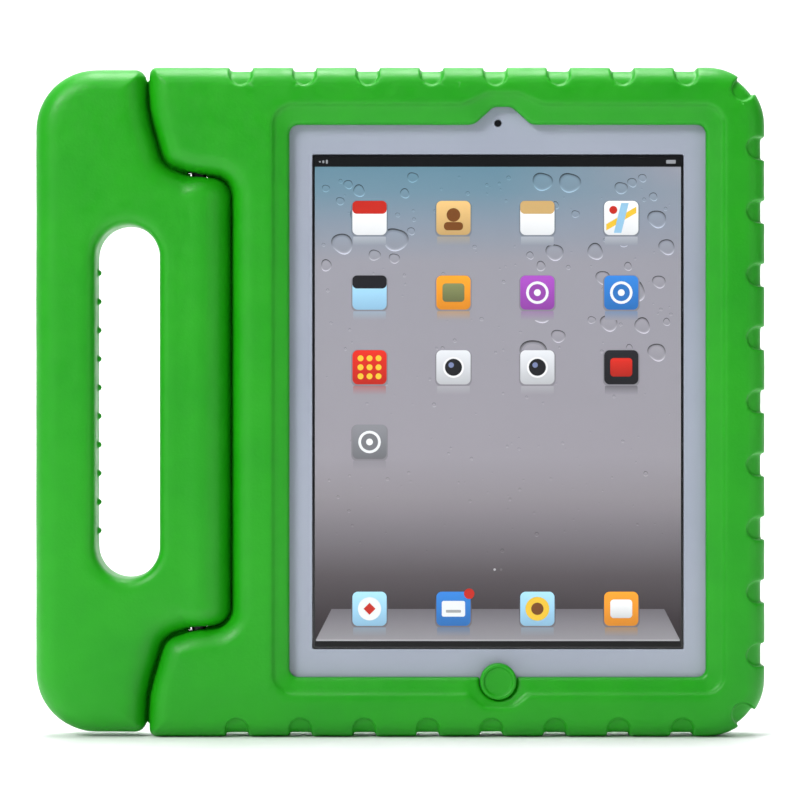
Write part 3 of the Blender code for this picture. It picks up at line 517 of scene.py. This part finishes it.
def handle_field(grid):
    outline = outline_field(grid, rounded(handle_corners(), GAP / 2))
    slab = edge_round(outline, np.abs(grid.y) - HANDLE_HALF_DEPTH + pillow(outline), HANDLE_EDGE)
    slab = np.minimum(slab, gap_crown(grid, outline, HANDLE_CROWN))
    from_axis = np.hypot(grid.x - AXIS_X, grid.y)
    height = np.abs(grid.z - MIDDLE_Z)
    barrel = edge_round(from_axis - BARREL_RADIUS, height - BARREL_HALF_LENGTH, BARREL_END_ROUND)
    handle = smooth_min(slab, barrel, BARREL_BLEND) + foam_ripple(grid) + HANDLE_TRIM
    grip_x, half_width = (GRIP_LEFT + GRIP_RIGHT) / 2, (GRIP_RIGHT - GRIP_LEFT) / 2
    grip = stadium_field(grid.z - MIDDLE_Z, grid.x - grip_x, GRIP_HALF_HEIGHT, half_width)
    handle = smooth_max(handle, -grip, GRIP_EDGE)
    handle = smooth_min(handle, nub_field(grid), NUB_BLEND)
    bore = np.where(height > FLANGE_SEAT, FLANGE_BORE, BORE_RADIUS)
    bore = np.where(height > BUSH_END + LIP_GAP, ROD_BORE, bore)
    return np.maximum(handle, -(from_axis - bore))


def mesh_from_field(name, grid, field):
    """The field's zero surface as an object in metres, with smooth shading."""
    volume = openvdb.FloatGrid(3 * grid.step)
    volume.copyFromArray(np.array(field, dtype=np.float32, order="C"))
    points, triangles, quads = volume.convertToPolygons(isovalue=0.0, adaptivity=ADAPTIVITY)
    points = (points * grid.step + grid.low) * MM
    faces = [tuple(face)[::-1] for face in triangles.tolist() + quads.tolist()]
    mesh = bpy.data.meshes.new(name)
    mesh.from_pydata(points.tolist(), [], faces)
    mesh.validate()
    mesh.shade_smooth()
    obj = bpy.data.objects.new(name, mesh)
    bpy.context.scene.collection.objects.link(obj)
    return obj


def build_body():
    grid = Grid(BODY_LOW - FOAM_MARGIN, BODY_HIGH + FOAM_MARGIN, VOXEL)
    body = mesh_from_field("foam_body", grid, body_field(grid))
    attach(body, "case")
    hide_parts("case_body")
    return body


def build_handle():
    grid = Grid(HANDLE_LOW - FOAM_MARGIN, HANDLE_HIGH + FOAM_MARGIN, VOXEL)
    handle = mesh_from_field("foam_handle", grid, handle_field(grid))
    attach(handle, "handle")
    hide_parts("handle")
    return handle


# Buttons of the same foam


def build_home_cover():
    """The round button below the window: a dished disc with a raised rim."""
    grid = Grid(HOME_LOW - BUTTON_MARGIN, HOME_HIGH + BUTTON_MARGIN, VOXEL / 2)
    from_centre = np.hypot(grid.x - HOME_X, grid.z - HOME_Z)
    front, back = HOME_LOW[1], HOME_HIGH[1] - HOME_DISC_SETBACK
    depth = np.abs(grid.y - (front + back) / 2) - (back - front) / 2
    disc = edge_round(from_centre - HOME_RADIUS, depth, HOME_EDGE)
    stem_depth = np.maximum(back - HOME_STEM_OVERLAP - grid.y, grid.y - HOME_HIGH[1])
    disc = np.minimum(disc, np.maximum(from_centre - HOME_STEM_RADIUS, stem_depth))
    dish = np.maximum(from_centre - HOME_RADIUS + HOME_RIM, grid.y - front - HOME_DISH_DEPTH)
    cover = mesh_from_field("foam_home_button", grid, smooth_max(disc, -dish, HOME_DISH_BLEND))
    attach(cover, "home_button")
    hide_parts("home_button_cover")
    return cover


def pad_field(grid, low, high, along, outward):
    """A soft rounded bar that sits in a hole of the case's edge."""
    middle, half = (low + high) / 2, (high - low) / 2
    coordinates = (grid.x, grid.y, grid.z)
    bar = stadium_field(coordinates[along] - middle[along], grid.y - middle[1], half[along], half[1])
    return edge_round(bar, np.abs(coordinates[outward] - middle[outward]) - half[outward], PAD_EDGE)


def build_edge_pads():
    pads = []
    for name, low, high, along, outward in (
        ("power_button", POWER_LOW, POWER_HIGH, 0, 2),
        ("volume_button", VOLUME_LOW, VOLUME_HIGH, 2, 0),
    ):
        grid = Grid(low - BUTTON_MARGIN, high + BUTTON_MARGIN, VOXEL / 2)
        pad = mesh_from_field("foam_" + name, grid, pad_field(grid, low, high, along, outward))
        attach(pad, name)
        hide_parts(name + "_cover")
        pads.append(pad)
    return pads


# Materials. A texture's scale is its number of cells per metre

FOAM_DARK = (0.004, 0.298, 0.0, 1.0)
FOAM_LIGHT = (0.009, 0.336, 0.001, 1.0)
FOAM_CLOUDS = 38.0
FOAM_GLOSS_PATCHES = 160.0
FOAM_GRAIN = 900.0
FOAM_GRAIN_DEPTH = 0.00012
FOAM_FINE_GRAIN = 1600.0
FOAM_FINE_DEPTH = 0.00008
PLAIN_GRAIN = 1500.0
PLAIN_GRAIN_DEPTH = 0.00006
GLASS_CLOUDS = 40.0


def srgb(red, green, blue):
    """Linear colour from 0-255 display values."""
    return tuple(((value / 255 + 0.055) / 1.055) ** 2.4 for value in (red, green, blue)) + (1.0,)


class Shader:
    """A small helper that adds nodes to one material and links them."""

    def __init__(self, name):
        self.material = bpy.data.materials.new(name)
        self.material.use_nodes = True
        self.nodes = self.material.node_tree.nodes
        self.links = self.material.node_tree.links
        self.surface = self.nodes["Principled BSDF"]

    def add(self, kind, **inputs):
        """A node, with its inputs set to values or linked to other nodes' outputs."""
        node = self.nodes.new(kind)
        for name, value in inputs.items():
            self.feed(node.inputs[name.replace("_", " ")], value)
        return node

    def feed(self, socket, value):
        if isinstance(value, bpy.types.NodeSocket):
            self.links.new(value, socket)
        else:
            socket.default_value = value

    def place(self):
        return self.add("ShaderNodeTexCoord").outputs["Object"]

    def noise(self, scale, detail=2.0, roughness=0.5, place=None):
        node = self.add("ShaderNodeTexNoise", Scale=scale, Detail=detail, Roughness=roughness)
        self.links.new(place or self.place(), node.inputs["Vector"])
        return node.outputs["Fac"]

    def spread(self, value, low, high, start=0.3, end=0.7):
        """A value moved from start..end to low..high."""
        node = self.add("ShaderNodeMapRange", Value=value)
        for name, number in (("From Min", start), ("From Max", end), ("To Min", low), ("To Max", high)):
            node.inputs[name].default_value = number
        return node.outputs["Result"]

    def ramp(self, value, stops):
        node = self.add("ShaderNodeValToRGB", Fac=value)
        elements = node.color_ramp.elements
        while len(elements) < len(stops):
            elements.new(0.5)
        for element, (position, colour) in zip(elements, stops):
            element.position = position
            element.color = colour
        return node.outputs["Color"]

    def bump(self, height, strength, distance, normal=None):
        node = self.add("ShaderNodeBump", Height=height, Strength=strength, Distance=distance)
        if normal is not None:
            self.links.new(normal, node.inputs["Normal"])
        return node.outputs["Normal"]

    def set(self, **inputs):
        for name, value in inputs.items():
            self.feed(self.surface.inputs[name.replace("_", " ")], value)


def foam_material():
    """Green EVA foam: satin skin, a fine leather grain and faint cloudy mottling."""
    shader = Shader("green_foam")
    clouds = shader.noise(FOAM_CLOUDS, detail=3.0, roughness=0.55)
    colour = shader.ramp(clouds, ((0.30, FOAM_DARK), (0.70, FOAM_LIGHT)))
    grain = shader.add("ShaderNodeTexVoronoi", Scale=FOAM_GRAIN)
    grain.feature = "SMOOTH_F1"
    shader.links.new(shader.place(), grain.inputs["Vector"])
    fine = shader.noise(FOAM_FINE_GRAIN, roughness=0.6)
    grain_bump = shader.bump(grain.outputs["Distance"], 0.35, FOAM_GRAIN_DEPTH)
    normal = shader.bump(fine, 0.25, FOAM_FINE_DEPTH, grain_bump)
    roughness = shader.spread(shader.noise(FOAM_GLOSS_PATCHES, detail=3.0), 0.40, 0.52)
    shader.set(Base_Color=colour, Roughness=roughness, Normal=normal)
    shader.set(Specular_IOR_Level=0.42)
    return shader.material


def plain_material(name, dark, light, rough, metallic=0.0, scale=60.0, grain=0.0):
    """A finish with faint cloudy variation of its colour and its roughness."""
    shader = Shader(name)
    clouds = shader.noise(scale, detail=3.0)
    colour = shader.ramp(clouds, ((0.3, dark), (0.7, light)))
    roughness = shader.spread(shader.noise(scale * 7), rough * 0.85, rough * 1.15)
    shader.set(Base_Color=colour, Roughness=roughness, Metallic=metallic)
    if grain:
        shader.set(Normal=shader.bump(shader.noise(PLAIN_GRAIN), grain, PLAIN_GRAIN_DEPTH))
    return shader.material


def give(obj, material):
    obj.data.materials.clear()
    obj.data.materials.append(material)


def dress_cad_nodes():
    """Finishes for the CAD nodes that are shown as they are."""
    steel = plain_material(
        "dark_steel", srgb(34, 34, 36), srgb(52, 52, 54), rough=0.35, metallic=1.0, scale=90.0
    )
    nylon = plain_material(
        "black_nylon", srgb(22, 22, 23), srgb(32, 32, 33), rough=0.55, scale=120.0, grain=0.3
    )
    metal = plain_material(
        "tablet_metal", srgb(196, 198, 202), srgb(208, 210, 213),
        rough=0.36, metallic=1.0, scale=30.0, grain=0.2,
    )
    bezel = plain_material("white_bezel", srgb(155, 161, 177), srgb(164, 170, 185), rough=0.22, scale=9.0)
    black = plain_material("lens_black", srgb(8, 9, 12), srgb(16, 17, 22), rough=0.08)
    finishes = {
        "hinge_rod": steel,
        "hinge_bush_upper": nylon,
        "hinge_bush_lower": nylon,
        "hinge_socket_upper": nylon,
        "hinge_socket_lower": nylon,
        "tablet_housing": metal,
        "tablet_power_button": metal,
        "tablet_volume_button": metal,
        "tablet_bezel": bezel,
        "tablet_home_button": bezel,
        "tablet_display": black,
        "tablet_front_camera": black,
        "tablet_rear_camera": black,
    }
    for node, finish in finishes.items():
        give(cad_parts[node], finish)


# The picture on the display: flat coloured shapes a few hundredths of a millimetre apart.
# Shapes that overlap are in different layers, counted from the display outwards

LAYER = 0.03
WALLPAPER_LAYER = 0.6
DROP_LAYER = 1
STRIP_LAYER = 1.5
SHADOW_LAYER = 2
MIRROR_LAYER = 2.5
TILE_LAYER = 3
MARK_LAYER = 4
UPPER_LAYER = 5
TOP_LAYER = 6

PAPER = (236, 238, 240)
RED = (196, 44, 34)
TAN = (206, 170, 112)
BROWN = (120, 72, 34)
ORANGE = (226, 142, 42)
GOLD = (240, 196, 60)
OLIVE = (120, 126, 84)
SKY = (150, 196, 226)
BLUE = (50, 116, 190)
VIOLET = (150, 72, 170)
SILVER = (196, 198, 202)
GREY = (120, 121, 126)
INK = (34, 34, 38)
LENS_RIM = (236, 236, 238)
LENS_GLINT = (120, 130, 170)
BLACK_STRIP = (14, 15, 18)
STRIP_MARK = (150, 152, 158)
SHELF_FAR = (112, 108, 115)
SHELF_NEAR = (152, 149, 155)
SHELF_EDGE = (176, 174, 180)
SHELF_UNDERSIDE = (8, 8, 10)
PALE_CORNER = (158, 156, 168)
PALE_START = 50.0
PALE_HEIGHT = 44.0
PALE_WIDTH = 72.0
PALE_STRENGTH = 0.85

PAGE_DOTS = ((-1.3, (190, 188, 192)), (1.3, (110, 106, 110)))
PAGE_DOTS_Z = -67.2
PAGE_DOT_RADIUS = 0.5

ICON_SIZE = 13.7
ICON_CORNER = 2.2
MIRROR_REACH = 4.2
MIRROR_FADE = 4.0
ICON_COLUMNS = (-51.4, 33.6)
ICON_TOP_ROW = 73.6
ICON_ROW_PITCH = 29.9
DOCK_ROW = -82.9
DOCK_TOP = -83.0
DOCK_BOTTOM = -95.2
SHELF_TOP_HALF = 66.6
SHELF_BOTTOM_HALF = 72.8
SHELF_EDGE_HEIGHT = 0.6
STATUS_HEIGHT = 4.0

# Drops on the wallpaper: where they may be, and how large
DROP_SEED = 11
DROP_TRIES = 90
LEFT_DROPS_X = (-70, -34)
LEFT_DROPS_Z = (54, 90)
RIGHT_DROPS_X = (12, 70)
RIGHT_DROPS_TOP = 90
RIGHT_DROPS_REACH = 72
DROP_LIMIT_X = 71
DROP_LIMIT_Z = 92
SMALLEST_DROP = 1.5
DROP_GROWTH = 4.1
DROP_SPACING = 0.4
SPRAY_COUNT = 200
SPRAY_X = (-70, 70)
SPRAY_Z = (-62, 90)
SPRAY_RADIUS = 0.3
SPRAY_GROWTH = 0.7
DROP_RINGS = (1.0, 0.93, 0.84, 0.7)
DROP_SHADES = (0.66, 0.36, 0.05)
DROP_CENTRE_SHADE = -0.04

# (height above the display's middle, colour) down the wallpaper
WALLPAPER = (
    (94.0, (98, 136, 154)),
    (84.0, (112, 142, 159)),
    (72.0, (134, 147, 162)),
    (56.0, (153, 152, 161)),
    (-22.0, (155, 151, 159)),
    (-38.0, (144, 139, 145)),
    (-54.0, (119, 114, 120)),
    (-70.0, (87, 81, 85)),
    (-88.0, (56, 49, 53)),
    (-98.7, (40, 36, 39)),
)

ICON_ROWS = (
    ((PAPER, RED, "band"), (TAN, BROWN, "disc"), (PAPER, TAN, "band"), (PAPER, GOLD, "slope")),
    ((SKY, INK, "band"), (ORANGE, OLIVE, "panel"), (VIOLET, PAPER, "ring"), (BLUE, PAPER, "ring")),
    ((RED, GOLD, "dots"), (SILVER, INK, "lens"), (SILVER, INK, "lens"), (INK, RED, "panel")),
    ((GREY, PAPER, "ring"),),
)
DOCK_ICONS = (
    (SKY, RED, "diamond"),
    (BLUE, PAPER, "card"),
    (SKY, GOLD, "target"),
    (ORANGE, PAPER, "panel"),
)

SCREEN_SIDE_BORDER = 0.7
SCREEN_END_BORDER = 0.6
SCREEN_X = (DISPLAY_LOW[0] + DISPLAY_HIGH[0]) / 2
SCREEN_Z = (DISPLAY_LOW[2] + DISPLAY_HIGH[2]) / 2
SCREEN_HALF_WIDTH = (DISPLAY_HIGH[0] - DISPLAY_LOW[0]) / 2 - SCREEN_SIDE_BORDER
SCREEN_HALF_HEIGHT = (DISPLAY_HIGH[2] - DISPLAY_LOW[2]) / 2 - SCREEN_END_BORDER


def mixed(a, b, share):
    return tuple(u + (v - u) * share for u, v in zip(a, b))


def scaled(colour, factor):
    return tuple(min(value * factor, 255.0) for value in colour)


def wallpaper(x, z):
    """The wallpaper's colour at a place measured from the display's middle."""
    heights = [height for height, _ in WALLPAPER]
    k = 0
    while k < len(heights) - 2 and z < heights[k + 1]:
        k += 1
    share = min(max((heights[k] - z) / (heights[k] - heights[k + 1]), 0.0), 1.0)
    colour = mixed(WALLPAPER[k][1], WALLPAPER[k + 1][1], share)
    paler = max(z - PALE_START, 0.0) / PALE_HEIGHT * max(x, 0.0) / PALE_WIDTH
    return mixed(colour, PALE_CORNER, PALE_STRENGTH * paler)


class Picture:
    """Flat shapes in front of the display, collected into one mesh with a colour per point."""

    def __init__(self):
        self.points = []
        self.faces = []
        self.tints = []

    def shape(self, outline, layer, tint):
        """One face, with tint a colour or a function of the place that gives one."""
        start = len(self.points)
        for x, z in outline:
            y = DISPLAY_LOW[1] - layer * LAYER
            self.points.append(((SCREEN_X + x) * MM, y * MM, (SCREEN_Z + z) * MM))
            self.tints.append(srgb(*(tint(x, z) if callable(tint) else tint)))
        self.faces.append(tuple(range(start, len(self.points))))

    def band(self, outer, inner, layer, tint):
        """The faces between two outlines with the same number of points."""
        for i in range(len(outer)):
            j = (i + 1) % len(outer)
            self.shape([outer[i], outer[j], inner[j], inner[i]], layer, tint)

    def build(self, name, material):
        mesh = bpy.data.meshes.new(name)
        mesh.from_pydata(self.points, [], self.faces)
        layer = mesh.color_attributes.new("tint", "FLOAT_COLOR", "POINT")
        layer.data.foreach_set("color", [value for tint in self.tints for value in tint])
        obj = bpy.data.objects.new(name, mesh)
        bpy.context.scene.collection.objects.link(obj)
        give(obj, material)
        return obj


def circle(x, z, radius, steps=24):
    angles = [2 * math.pi * k / steps for k in range(steps)]
    return [(x + radius * math.cos(a), z + radius * math.sin(a)) for a in angles]


def stripe(half_width, low, high):
    return [(-half_width, low), (half_width, low), (half_width, high), (-half_width, high)]


def panel(x, z, half_width, half_height, radius):
    return rounded(box_corners(x - half_width, x + half_width, z - half_height, z + half_height, radius))


# The marks on the tiles. Each is drawn around x, z, on a tile of the colour given


def draw_band(picture, x, z, tile, colour):
    band = panel(x, z + ICON_SIZE * 0.31, ICON_SIZE / 2, ICON_SIZE * 0.19, 1.8)
    picture.shape(band, MARK_LAYER, colour)


def draw_disc(picture, x, z, tile, colour):
    picture.shape(circle(x, z + 1.2, ICON_SIZE * 0.2), MARK_LAYER, colour)
    picture.shape(panel(x, z - 3.3, ICON_SIZE * 0.28, ICON_SIZE * 0.12, 1.5), MARK_LAYER, colour)


def draw_slope(picture, x, z, tile, colour):
    slope = [(x - 6, z - 2.5), (x - 6, z - 5), (x + 6, z + 2), (x + 6, z + 4.5)]
    steep = [(x - 3, z - 6), (x, z - 6), (x + 3, z + 6), (x, z + 6)]
    picture.shape(slope, MARK_LAYER, colour)
    picture.shape(steep, UPPER_LAYER, SKY)
    picture.shape(circle(x - 3.2, z + 3.2, 1.6), TOP_LAYER, RED)


def draw_panel(picture, x, z, tile, colour):
    outline = panel(x, z, ICON_SIZE * 0.32, ICON_SIZE * 0.27, 1.4)
    picture.shape(outline, MARK_LAYER, lambda u, v: scaled(colour, 1 + (v - z) / 30))


def draw_card(picture, x, z, tile, colour):
    picture.shape(panel(x, z, ICON_SIZE * 0.34, ICON_SIZE * 0.23, 0.8), MARK_LAYER, colour)
    line = panel(x, z - 1.0, ICON_SIZE * 0.22, ICON_SIZE * 0.04, 0.3)
    picture.shape(line, UPPER_LAYER, scaled(colour, 0.7))
    picture.shape(circle(x + ICON_SIZE * 0.46, z + ICON_SIZE * 0.44, 2.1), TOP_LAYER, RED)


def draw_ring(picture, x, z, tile, colour):
    picture.shape(circle(x, z, ICON_SIZE * 0.33), MARK_LAYER, colour)
    picture.shape(circle(x, z, ICON_SIZE * 0.25), UPPER_LAYER, tile)
    picture.shape(circle(x, z, ICON_SIZE * 0.1), TOP_LAYER, colour)


def draw_lens(picture, x, z, tile, colour):
    picture.shape(circle(x, z, ICON_SIZE * 0.31), MARK_LAYER, LENS_RIM)
    picture.shape(circle(x, z, ICON_SIZE * 0.25), UPPER_LAYER, colour)
    picture.shape(circle(x - 0.9, z + 0.9, ICON_SIZE * 0.08), TOP_LAYER, LENS_GLINT)


def draw_diamond(picture, x, z, tile, colour):
    half = 2.4
    picture.shape(circle(x, z, ICON_SIZE * 0.34), MARK_LAYER, PAPER)
    picture.shape([(x - half, z), (x, z - half), (x + half, z), (x, z + half)], UPPER_LAYER, colour)


def draw_target(picture, x, z, tile, colour):
    picture.shape(circle(x, z, ICON_SIZE * 0.35), MARK_LAYER, colour)
    picture.shape(circle(x, z, ICON_SIZE * 0.18), UPPER_LAYER, BROWN)


def draw_dots(picture, x, z, tile, colour):
    pitch = 3.6
    for k in range(9):
        dot = circle(x + pitch * (k % 3 - 1), z + pitch * (k // 3 - 1), 1.2)
        picture.shape(dot, MARK_LAYER, colour)


MARKS = {
    "band": draw_band,
    "disc": draw_disc,
    "slope": draw_slope,
    "panel": draw_panel,
    "card": draw_card,
    "ring": draw_ring,
    "lens": draw_lens,
    "diamond": draw_diamond,
    "target": draw_target,
    "dots": draw_dots,
}


def draw_icon(picture, x, z, tile, colour, kind, ground):
    """A rounded tile, lighter at its top, with a mark on it and a faint reflection below it."""
    half = ICON_SIZE / 2
    shadow = panel(x, z - 0.4, half + 0.5, half + 0.5, ICON_CORNER + 0.4)
    picture.shape(shadow, SHADOW_LAYER, lambda u, v: scaled(ground(u, v), 0.88))
    face = panel(x, z, half, half, ICON_CORNER)
    picture.shape(face, TILE_LAYER, lambda u, v: scaled(tile, 1.06 + (v - z) / 60))
    MARKS[kind](picture, x, z, tile, colour)
    faded = mixed(tile, ground(x, z - half), 0.62)
    low = z - half - MIRROR_REACH

    def fading(u, v):
        return mixed(ground(u, v), faded, min(max((v - low) / MIRROR_FADE, 0.0), 1.0))

    picture.shape(panel(x, z - half - 2.4, half - 0.3, 1.8, 0.5), MIRROR_LAYER, fading)


def blob(x, z, radius, lean, steps):
    """A circle with a few soft corners, as a drop that clings to glass has."""
    points = []
    for k in range(steps):
        angle = 2 * math.pi * k / steps
        reach = radius * (1 + 0.07 * math.cos(2 * angle + lean) + 0.05 * math.cos(3 * angle - 2 * lean))
        points.append((x + reach * math.cos(angle), z + reach * math.sin(angle)))
    return points


def draw_droplet(picture, x, z, radius, lean):
    """A drop of water: a dark line along its upper rim, a pale one along its lower rim."""

    def tint(strength):
        def colour(u, v):
            height = max(-1.0, min(1.0, (v - z) / radius))
            return scaled(wallpaper(u, v), 1.0 - strength * (height + 0.25))

        return colour

    steps = 36 if radius > SMALLEST_DROP else 10
    rings = [blob(x, z, radius * share, lean, steps) for share in DROP_RINGS]
    for outer, inner, strength in zip(rings, rings[1:], DROP_SHADES):
        picture.band(outer, inner, DROP_LAYER, tint(strength))
    picture.shape(rings[-1], DROP_LAYER, tint(DROP_CENTRE_SHADE))


def is_clear(place, placed):
    """Whether a drop would stay clear of the drops already placed."""
    x, z, radius = place
    return all(math.hypot(x - a, z - b) > radius + c + DROP_SPACING for a, b, c in placed)


def draw_droplets(picture):
    """Large drops towards the upper corners, and a fine spray over the rest."""
    chance = random.Random(DROP_SEED)
    placed = []
    for k in range(DROP_TRIES):
        if k % 3 == 0:
            x, z = chance.uniform(*LEFT_DROPS_X), chance.uniform(*LEFT_DROPS_Z)
        else:
            x = chance.uniform(*RIGHT_DROPS_X)
            z = RIGHT_DROPS_TOP - RIGHT_DROPS_REACH * chance.random() ** 1.3
        wanted = SMALLEST_DROP + DROP_GROWTH * chance.random() ** 1.6
        radius = min(wanted, DROP_LIMIT_X - abs(x), DROP_LIMIT_Z - z)
        if radius > SMALLEST_DROP and is_clear((x, z, radius), placed):
            placed.append((x, z, radius))
    for _ in range(SPRAY_COUNT):
        x, z = chance.uniform(*SPRAY_X), chance.uniform(*SPRAY_Z)
        spray = (x, z, SPRAY_RADIUS + SPRAY_GROWTH * chance.random() ** 3)
        if is_clear(spray, placed):
            placed.append(spray)
    for x, z, radius in placed:
        draw_droplet(picture, x, z, radius, chance.uniform(0, math.pi))


def draw_wallpaper(picture):
    columns = [-SCREEN_HALF_WIDTH + SCREEN_HALF_WIDTH * k / 6 for k in range(13)]
    top, bottom = SCREEN_HALF_HEIGHT, -SCREEN_HALF_HEIGHT
    heights = [top] + [height for height, _ in WALLPAPER[1:-1]] + [bottom]
    for high, low in zip(heights, heights[1:]):
        for left, right in zip(columns, columns[1:]):
            cell = [(left, low), (right, low), (right, high), (left, high)]
            picture.shape(cell, WALLPAPER_LAYER, wallpaper)


def shelf(x, z):
    """The shelf's colour, and the wallpaper's above it."""
    if z > DOCK_TOP:
        return wallpaper(x, z)
    return mixed(SHELF_FAR, SHELF_NEAR, (DOCK_TOP - z) / (DOCK_TOP - DOCK_BOTTOM))


def draw_shelf(picture):
    """The pale shelf along the bottom, with a bright front edge and a black strip below it."""
    top, bottom = SHELF_TOP_HALF, SHELF_BOTTOM_HALF
    edge = DOCK_BOTTOM - SHELF_EDGE_HEIGHT
    face = [(-bottom, DOCK_BOTTOM), (bottom, DOCK_BOTTOM), (top, DOCK_TOP), (-top, DOCK_TOP)]
    picture.shape(face, STRIP_LAYER, shelf)
    picture.shape(stripe(bottom, edge, DOCK_BOTTOM), STRIP_LAYER, SHELF_EDGE)
    underside = stripe(SCREEN_HALF_WIDTH, -SCREEN_HALF_HEIGHT, edge)
    picture.shape(underside, STRIP_LAYER, SHELF_UNDERSIDE)


def draw_status_strip(picture):
    """A black strip along the top with a small charge gauge and a signal mark."""
    width, top = SCREEN_HALF_WIDTH, SCREEN_HALF_HEIGHT
    middle = top - STATUS_HEIGHT / 2
    picture.shape(stripe(width, top - STATUS_HEIGHT, top), STRIP_LAYER, BLACK_STRIP)
    picture.shape(panel(width - 4.0, middle, 1.9, 0.75, 0.3), SHADOW_LAYER, STRIP_MARK)
    for k in range(3):
        bar = panel(2.0 - width + 1.4 * k, middle, 0.4, 0.3 + 0.25 * k, 0.2)
        picture.shape(bar, SHADOW_LAYER, STRIP_MARK)


def screen_material():
    """The picture's own colours under a thin satin glass."""
    shader = Shader("screen_picture")
    tint = shader.nodes.new("ShaderNodeAttribute")
    tint.attribute_name = "tint"
    clouds = shader.noise(GLASS_CLOUDS)
    shade = shader.ramp(clouds, ((0.3, (0.99, 0.99, 0.99, 1.0)), (0.7, (1.0, 1.0, 1.0, 1.0))))
    mix = shader.nodes.new("ShaderNodeMix")
    mix.data_type = "RGBA"
    mix.blend_type = "MULTIPLY"
    mix.inputs["Factor"].default_value = 1.0
    shader.links.new(tint.outputs["Color"], mix.inputs["A"])
    shader.links.new(shade, mix.inputs["B"])
    shader.set(Base_Color=mix.outputs["Result"], Roughness=shader.spread(clouds, 0.28, 0.30))
    shader.set(Specular_IOR_Level=0.3)
    return shader.material


def build_screen():
    picture = Picture()
    draw_wallpaper(picture)
    draw_droplets(picture)
    draw_status_strip(picture)
    draw_shelf(picture)
    left, pitch = ICON_COLUMNS
    for row, icons in enumerate(ICON_ROWS):
        for column, (tile, colour, kind) in enumerate(icons):
            place = (left + column * pitch, ICON_TOP_ROW - row * ICON_ROW_PITCH)
            draw_icon(picture, *place, tile, colour, kind, wallpaper)
    for column, (tile, colour, kind) in enumerate(DOCK_ICONS):
        draw_icon(picture, left + column * pitch, DOCK_ROW, tile, colour, kind, shelf)
    for x, colour in PAGE_DOTS:
        picture.shape(circle(x, PAGE_DOTS_Z, PAGE_DOT_RADIUS, 12), SHADOW_LAYER, colour)
    screen = picture.build("screen_picture", screen_material())
    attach(screen, "case")
    return screen


# Studio, in metres

CASE_MIDDLE = (0.0, 0.0, 0.134)
KEY_WATTS = 43
FILL_WATTS = 4.5
TOP_WATTS = 15
BACKDROP_WATTS = 40
WORLD_COLOUR = (0.96, 0.98, 1.0, 1.0)
WORLD_STRENGTH = 0.20
SWEEP_HALF_WIDTH = 3.0
SWEEP_FRONT = -3.0
SWEEP_BEND = 0.8
SWEEP_RADIUS = 0.6
SWEEP_TOP = 3.0
SWEEP_STEPS = 12
CAMERA_DISTANCE = 1.25
CAMERA_HEIGHT = 0.1348
FRAME_WIDTH = 0.3185


def look_at(obj, target):
    obj.rotation_euler = (Vector(target) - obj.location).to_track_quat("-Z", "Y").to_euler()


def add_light(name, place, target, size, watts):
    data = bpy.data.lights.new(name, "AREA")
    data.shape = "DISK"
    data.size = size
    data.energy = watts
    light = bpy.data.objects.new(name, data)
    light.location = place
    bpy.context.scene.collection.objects.link(light)
    look_at(light, target)
    return light


def build_floor():
    """A pale sweep: floor, curved corner and back wall in one sheet."""
    profile = [(SWEEP_FRONT, 0.0), (SWEEP_BEND, 0.0)]
    for k in range(1, SWEEP_STEPS + 1):
        angle = math.pi / 2 * k / SWEEP_STEPS
        rise = SWEEP_RADIUS - SWEEP_RADIUS * math.cos(angle)
        profile.append((SWEEP_BEND + SWEEP_RADIUS * math.sin(angle), rise))
    profile.append((SWEEP_BEND + SWEEP_RADIUS, SWEEP_TOP))
    floor_z = BODY_LOW[2] * MM
    points = [(x, y, z + floor_z) for y, z in profile for x in (-SWEEP_HALF_WIDTH, SWEEP_HALF_WIDTH)]
    faces = [(2 * k, 2 * k + 1, 2 * k + 3, 2 * k + 2) for k in range(len(profile) - 1)]
    mesh = bpy.data.meshes.new("floor")
    mesh.from_pydata(points, [], faces)
    mesh.shade_smooth()
    floor = bpy.data.objects.new("floor", mesh)
    bpy.context.scene.collection.objects.link(floor)
    give(floor, plain_material("floor", srgb(240, 241, 242), srgb(245, 245, 246), 0.6, scale=3.0))
    return floor


def build_studio():
    key = add_light("key", (-1.4, -1.5, 1.6), CASE_MIDDLE, 0.9, KEY_WATTS)
    fill = add_light("fill", (1.7, -1.5, 0.6), CASE_MIDDLE, 1.4, FILL_WATTS)
    top = add_light("top", (-0.2, 0.1, 1.9), CASE_MIDDLE, 1.2, TOP_WATTS)
    wall = add_light("backdrop_light", (0.0, 0.3, 2.0), (0.0, 1.4, 0.5), 1.2, BACKDROP_WATTS)
    build_floor()
    world = bpy.data.worlds.new("studio")
    world.use_nodes = True
    background = world.node_tree.nodes["Background"]
    background.inputs["Color"].default_value = WORLD_COLOUR
    background.inputs["Strength"].default_value = WORLD_STRENGTH
    bpy.context.scene.world = world
    bpy.context.scene.view_settings.view_transform = "Standard"


def build_camera():
    """A long lens, level with the middle of the case, as in a catalogue picture."""
    data = bpy.data.cameras.new("camera")
    data.lens = data.sensor_width * CAMERA_DISTANCE / FRAME_WIDTH
    camera = bpy.data.objects.new("camera", data)
    camera.location = (0.0, BODY_LOW[1] * MM - CAMERA_DISTANCE, CAMERA_HEIGHT)
    camera.rotation_euler = (math.pi / 2, 0.0, 0.0)
    bpy.context.scene.collection.objects.link(camera)
    bpy.context.scene.camera = camera


def main():
    foam = foam_material()
    for piece in [build_body(), build_handle(), build_home_cover(), *build_edge_pads()]:
        give(piece, foam)
    dress_cad_nodes()
    build_screen()
    build_studio()
    build_camera()


main()
